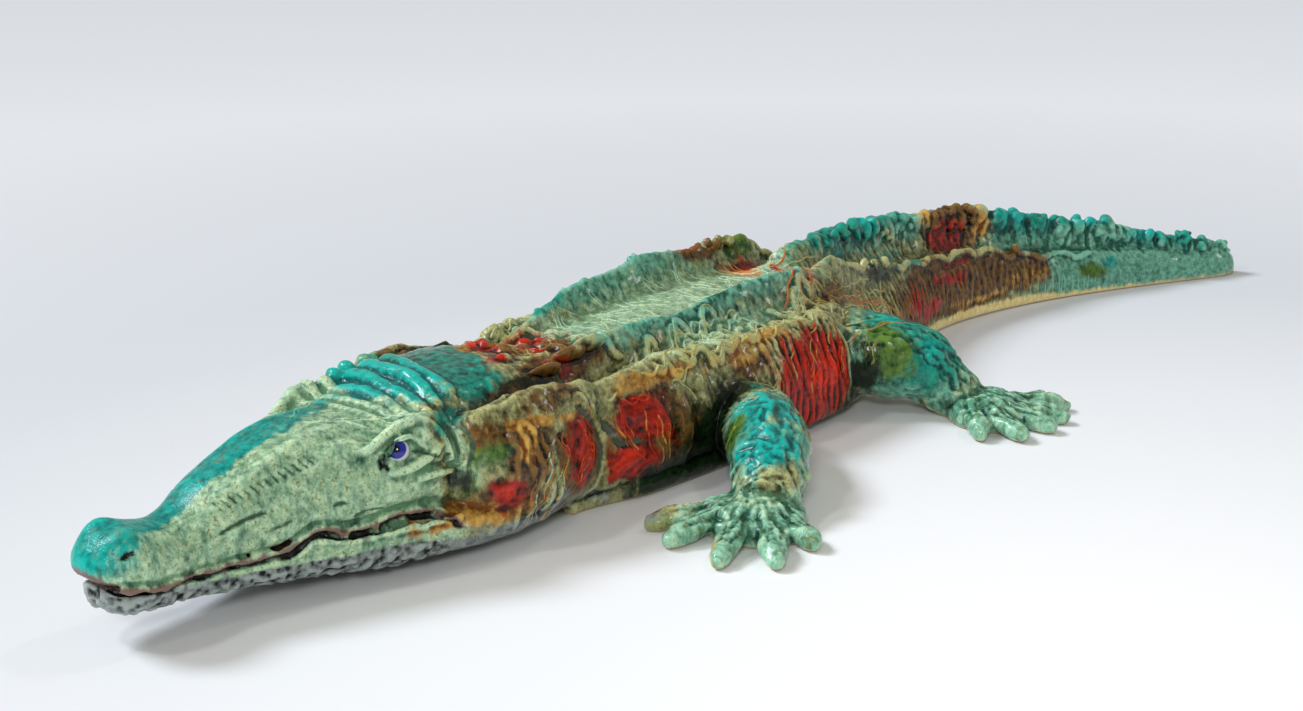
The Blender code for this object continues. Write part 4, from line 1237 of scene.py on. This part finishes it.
def trace(spots):
    """The same line as a pressed fold, lifted to the finished hide."""
    spots = np.array(spots)
    far = far_along(spots)
    places = np.arange(0, far[-1], STEP)
    close = np.stack([np.interp(places, far, column) for column in spots.T], axis=1)
    return [tuple(hide.find_nearest(Vector(spot) + Vector((0, 0, 0.002)))[:2]) for spot in close]


squiggles, threads = Slip(6), Slip(5)
some, pick = nozzle.uniform, nozzle.choice
down = Vector((0, 0, -1))
# how far off the spine the slip starts, clear of neck and flank, before it is laid on the nearest hide
OUTSIDE = 0.09
THREAD_TOPS = mm((110, 62), (250, 44), (350, 36), (450, 24), (550, 15))
PALE_DRIPS = mm((-189, 60, 20), (-181, 34, 16), (-199, 30, 14), (-171, 28, 12))


def hang(side, count, kinds, along, slant, high, long, sway, thick, cover):
    """Threads that run down one side, each chosen between the given limits."""
    for _ in range(count):
        start = some(*along)
        way = down + lengthwise(start) * some(*slant)
        kind = pick(kinds) if len(kinds) > 1 else kinds[0]
        path = crawl(stand(start, side * OUTSIDE, some(*high)), way, some(*long), sway)
        threads.trail(kind, path, some(*thick), some(*cover))


# pale slip along the top of each fold, its ring painted pale on top and dark below as painted highlight and
# painted shade
for spots in ridge_tops:
    if len(spots) > 3:
        squiggles.trail("line_trail", trace(spots), some(0.0005, 0.0008), some(0.0, 0.60))
for side in (1, -1):
    for _ in range(56):
        along, across = some(-0.125, 0.100), side * some(0.042, 0.064)
        way = lengthwise(along) * pick((1, -1)) + crosswise(along) * some(-0.3, 0.3)
        squiggles.trail("line_trail", crawl(top_of(along, across), way, some(0.010, 0.026), 0.8),
                        some(0.0008, 0.0013), some(-0.2, 0.6))
    # drips and loops on the jowl, with pale drips over them
    hang(side, 30, ("line_ember", "line_gold"), (-0.208, -0.140), (-0.5, 0.5), (0.024, 0.074),
         (0.010, 0.036), 0.6, (0.0004, 0.0007), (-0.2, 0.7))
    for along, up, long in PALE_DRIPS:
        threads.trail("line_web", crawl(stand(along, side * OUTSIDE, up), down, long, 0.3), 0.0008, 0.8)
    # golden threads round the neck
    hang(side, 44, ("line_gold",), (-0.130, -0.045), (0.1, 0.5), (0.040, 0.070),
         (0.012, 0.034), 0.3, (0.0005, 0.0008), (-0.2, 0.6))
    # olive threads over the top of the flank
    hang(side, 40, ("line_trail",), (-0.040, 0.085), (-0.6, 0.2), (0.052, 0.072),
         (0.008, 0.024), 0.5, (0.0006, 0.0009), (-0.2, 0.6))
    # rays from a red star at the end of the saddle, over the back ridge and the hip
    far_reach = 0.075 if side > 0 else 0.030
    for number in range(24):
        angle = 0.1 + 2.6 * number / 23 + some(-0.06, 0.06)
        way = lengthwise(0.08) * math.cos(angle) + crosswise(0.08) * side * math.sin(angle)
        start = top_of(0.092 + some(0, 0.008) * math.cos(angle), 0.004 + side * 0.008 * math.sin(angle))
        threads.trail("line_ember", crawl(start, way, some(0.3, 1.0) * far_reach, 0.22),
                      some(0.0006, 0.0010), some(0.1, 0.9))
    # strands along the root of the tail
    for _ in range(14):
        along, kind = some(0.085, 0.160), pick(("line_trail", "line_ember"))
        start = stand(along, side * some(0.040, 0.060), some(0.035, 0.075))
        threads.trail(kind, crawl(start, lengthwise(along), some(0.030, 0.080), 0.2),
                      some(0.0006, 0.0010), some(0.0, 0.8))
    # threads down the side of the tail
    for number in range(64):
        along = 0.130 + number * 0.0054 + some(-0.0015, 0.0015)
        top, kind = float(curve(THREAD_TOPS, along)), pick(("line_gold", "line_trail"))
        threads.trail(kind, crawl(stand(along, side * 0.06, top), down, top, 0.16),
                      0.0008 - 0.0008 * (along - 0.13), some(-0.3, 0.5))
    # veins over the cheek and the brow
    for number in range(7):
        start = stand(-0.290 + 0.006 * number, side * (0.004 + 0.004 * number), 0.090)
        way = lengthwise(0) * 0.6 + crosswise(0) * side * some(0.2, 1.0)
        threads.trail("line_web", crawl(start, way, some(0.012, 0.026), 0.2), 0.0008, 0.2)
# the web of straight thin lines over the saddle
for _ in range(90):
    along = some(-0.100, 0.095)
    way = crosswise(along) * pick((1, -1)) + lengthwise(along) * some(-1.6, 0.6)
    threads.trail("line_web", crawl(top_of(along, some(-0.026, 0.026)), way, some(0.010, 0.030), 0.10),
                  some(0.0003, 0.0006), some(0.0, 0.8))
squiggles.piece("slip_squiggles")
threads.piece("slip_threads")


# The eyes: two beads of white clay pressed deep into their sockets, each with a round spot of cobalt
# and a dark pupil, under a thick clear glaze.
EYE_RADIUS = 0.0055
EYE_PLACE = (-0.2625, 0.0425, 0.0670)
GAZE = (0.56, -0.74, 0.50)
white_of_eye = bpy.data.materials.new("eye glaze")
white_of_eye.use_nodes = True
eye_tree = white_of_eye.node_tree
eye_shader = eye_tree.nodes["Principled BSDF"]
gaze = add_node(eye_tree, "ShaderNodeAttribute", attribute_name="gaze").outputs["Fac"]
iris = spanned(eye_tree, gaze, 0.50, 0.60)
pupil = spanned(eye_tree, gaze, 0.90, 0.95)
seen = mixed(eye_tree, iris, colour(206, 204, 210), colour(14, 34, 140))
seen = mixed(eye_tree, pupil, seen, colour(3, 5, 26))
eye_tree.links.new(seen, eye_shader.inputs["Base Color"])
eye_shader.inputs["Roughness"].default_value = 0.08
eye_shader.inputs["Coat Weight"].default_value = 0.3
eye_shader.inputs["Coat Roughness"].default_value = 0.03

for name, side in (("left_eye", 1), ("right_eye", -1)):
    bead = bmesh.new()
    bmesh.ops.create_uvsphere(bead, u_segments=40, v_segments=24, radius=EYE_RADIUS)
    middle = stand(EYE_PLACE[0], side * EYE_PLACE[1], EYE_PLACE[2])
    facing = np.array([side * GAZE[0], GAZE[1], GAZE[2]])
    facing /= np.linalg.norm(facing)
    toward = [float(np.dot(vert.co.normalized(), facing)) for vert in bead.verts]
    bmesh.ops.translate(bead, verts=bead.verts, vec=middle)
    eye_mesh = bpy.data.meshes.new(name)
    bead.to_mesh(eye_mesh)
    bead.free()
    eye_mesh.shade_smooth()
    kept = eye_mesh.attributes.new("gaze", "FLOAT", "POINT")
    kept.data.foreach_set("value", np.array(toward, dtype=np.float32))
    eye_mesh.materials.append(white_of_eye)
    eye = bpy.data.objects.new(name, eye_mesh)
    bpy.context.collection.objects.link(eye)
    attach(eye, "root")


# The white sweep of paper that the piece lies on. Its colour carries a painted pool of light: painted
# brightest in a soft pool beside the left foreleg, painted greyer round that as falloff, and painted pale
# again far out.
paper = bpy.data.meshes.new("paper")
PAPER_REACH = 25.0
corners = [(x * PAPER_REACH, y * PAPER_REACH, 0) for x, y in ((-1, -1), (1, -1), (1, 1), (-1, 1))]
paper.from_pydata(corners, [], [(0, 1, 2, 3)])
floor = bpy.data.objects.new("paper", paper)
bpy.context.collection.objects.link(floor)
plain = bpy.data.materials.new("paper")
plain.use_nodes = True
sweep = plain.node_tree
spread = add_node(sweep, "ShaderNodeTexCoord").outputs["Object"]
# the middle of the painted pool of light on the paper
PAINTED_LIGHT_MIDDLE = (0.38, -0.22, 0.0)
apart = add_node(sweep, "ShaderNodeVectorMath", {0: spread, 1: PAINTED_LIGHT_MIDDLE},
                 operation="DISTANCE").outputs["Value"]
# painted light: the paper's colour darkens away from the pool and lightens again far out
painted_light_falloff = spanned(sweep, apart, 0.10, 0.70)
painted_far_brightening = spanned(sweep, apart, 0.80, 1.60)
edge_of_light = mixed(sweep, painted_far_brightening, colour(213, 217, 222), colour(238, 241, 245))
plain_shader = sweep.nodes["Principled BSDF"]
sweep.links.new(mixed(sweep, painted_light_falloff, colour(246, 247, 248), edge_of_light), plain_shader.inputs["Base Color"])
plain_shader.inputs["Roughness"].default_value = 0.9
paper.materials.append(plain)


# The lights and the camera: a broad cool key from above the animal's right side, a soft fill from the
# camera's side, three small lamps that put white glints on the glaze, and a warm even glow all round.
def soft_light(name, at, toward, size, power, tint):
    """A square soft light, turned towards a point."""
    lamp = bpy.data.lights.new(name, "AREA")
    lamp.size = size
    lamp.energy = power
    lamp.color = tint
    holder = bpy.data.objects.new(name, lamp)
    holder.location = at
    holder.rotation_euler = (Vector(toward) - Vector(at)).to_track_quat("-Z", "Y").to_euler()
    bpy.context.collection.objects.link(holder)


sun = bpy.data.lights.new("key", "SUN")
sun.angle = 0.30
sun.energy = 2.32
sun.color = (0.86, 0.91, 1.0)
window = bpy.data.objects.new("key", sun)
window.rotation_euler = Vector((0.60, 0.33, -0.72)).to_track_quat("-Z", "Y").to_euler()
bpy.context.collection.objects.link(window)
WHITE = (1.0, 1.0, 1.0)
soft_light("fill", (1.60, -2.40, 1.60), (0.3, -0.7, 0.0), 0.60, 30, (0.98, 0.99, 1.0))
soft_light("glint", (-0.30, -1.10, 1.30), (0.0, -0.1, 0.05), 0.16, 3.6, WHITE)
soft_light("glint from above", (0.55, 0.75, 1.90), (0.0, 0.0, 0.05), 0.16, 2.8, WHITE)
soft_light("glint along the flank", (1.50, 1.30, 0.80), (0.0, -0.1, 0.05), 0.18, 1.5, WHITE)
air = bpy.data.worlds.new("air")
air.use_nodes = True
air.node_tree.nodes["Background"].inputs["Color"].default_value = (1.0, 0.93, 0.80, 1.0)
air.node_tree.nodes["Background"].inputs["Strength"].default_value = 0.31
bpy.context.scene.world = air

lens = bpy.data.cameras.new("camera")
lens.lens = 49.73
lens.sensor_width = 36
lens.sensor_fit = "HORIZONTAL"
camera = bpy.data.objects.new("camera", lens)
camera.location = (0.6693, -0.8921, 0.368)
camera.rotation_euler = (math.radians(72.85), 0, math.radians(40.5))
bpy.context.collection.objects.link(camera)
bpy.context.scene.camera = camera
bpy.context.scene.view_settings.view_transform = "Standard"
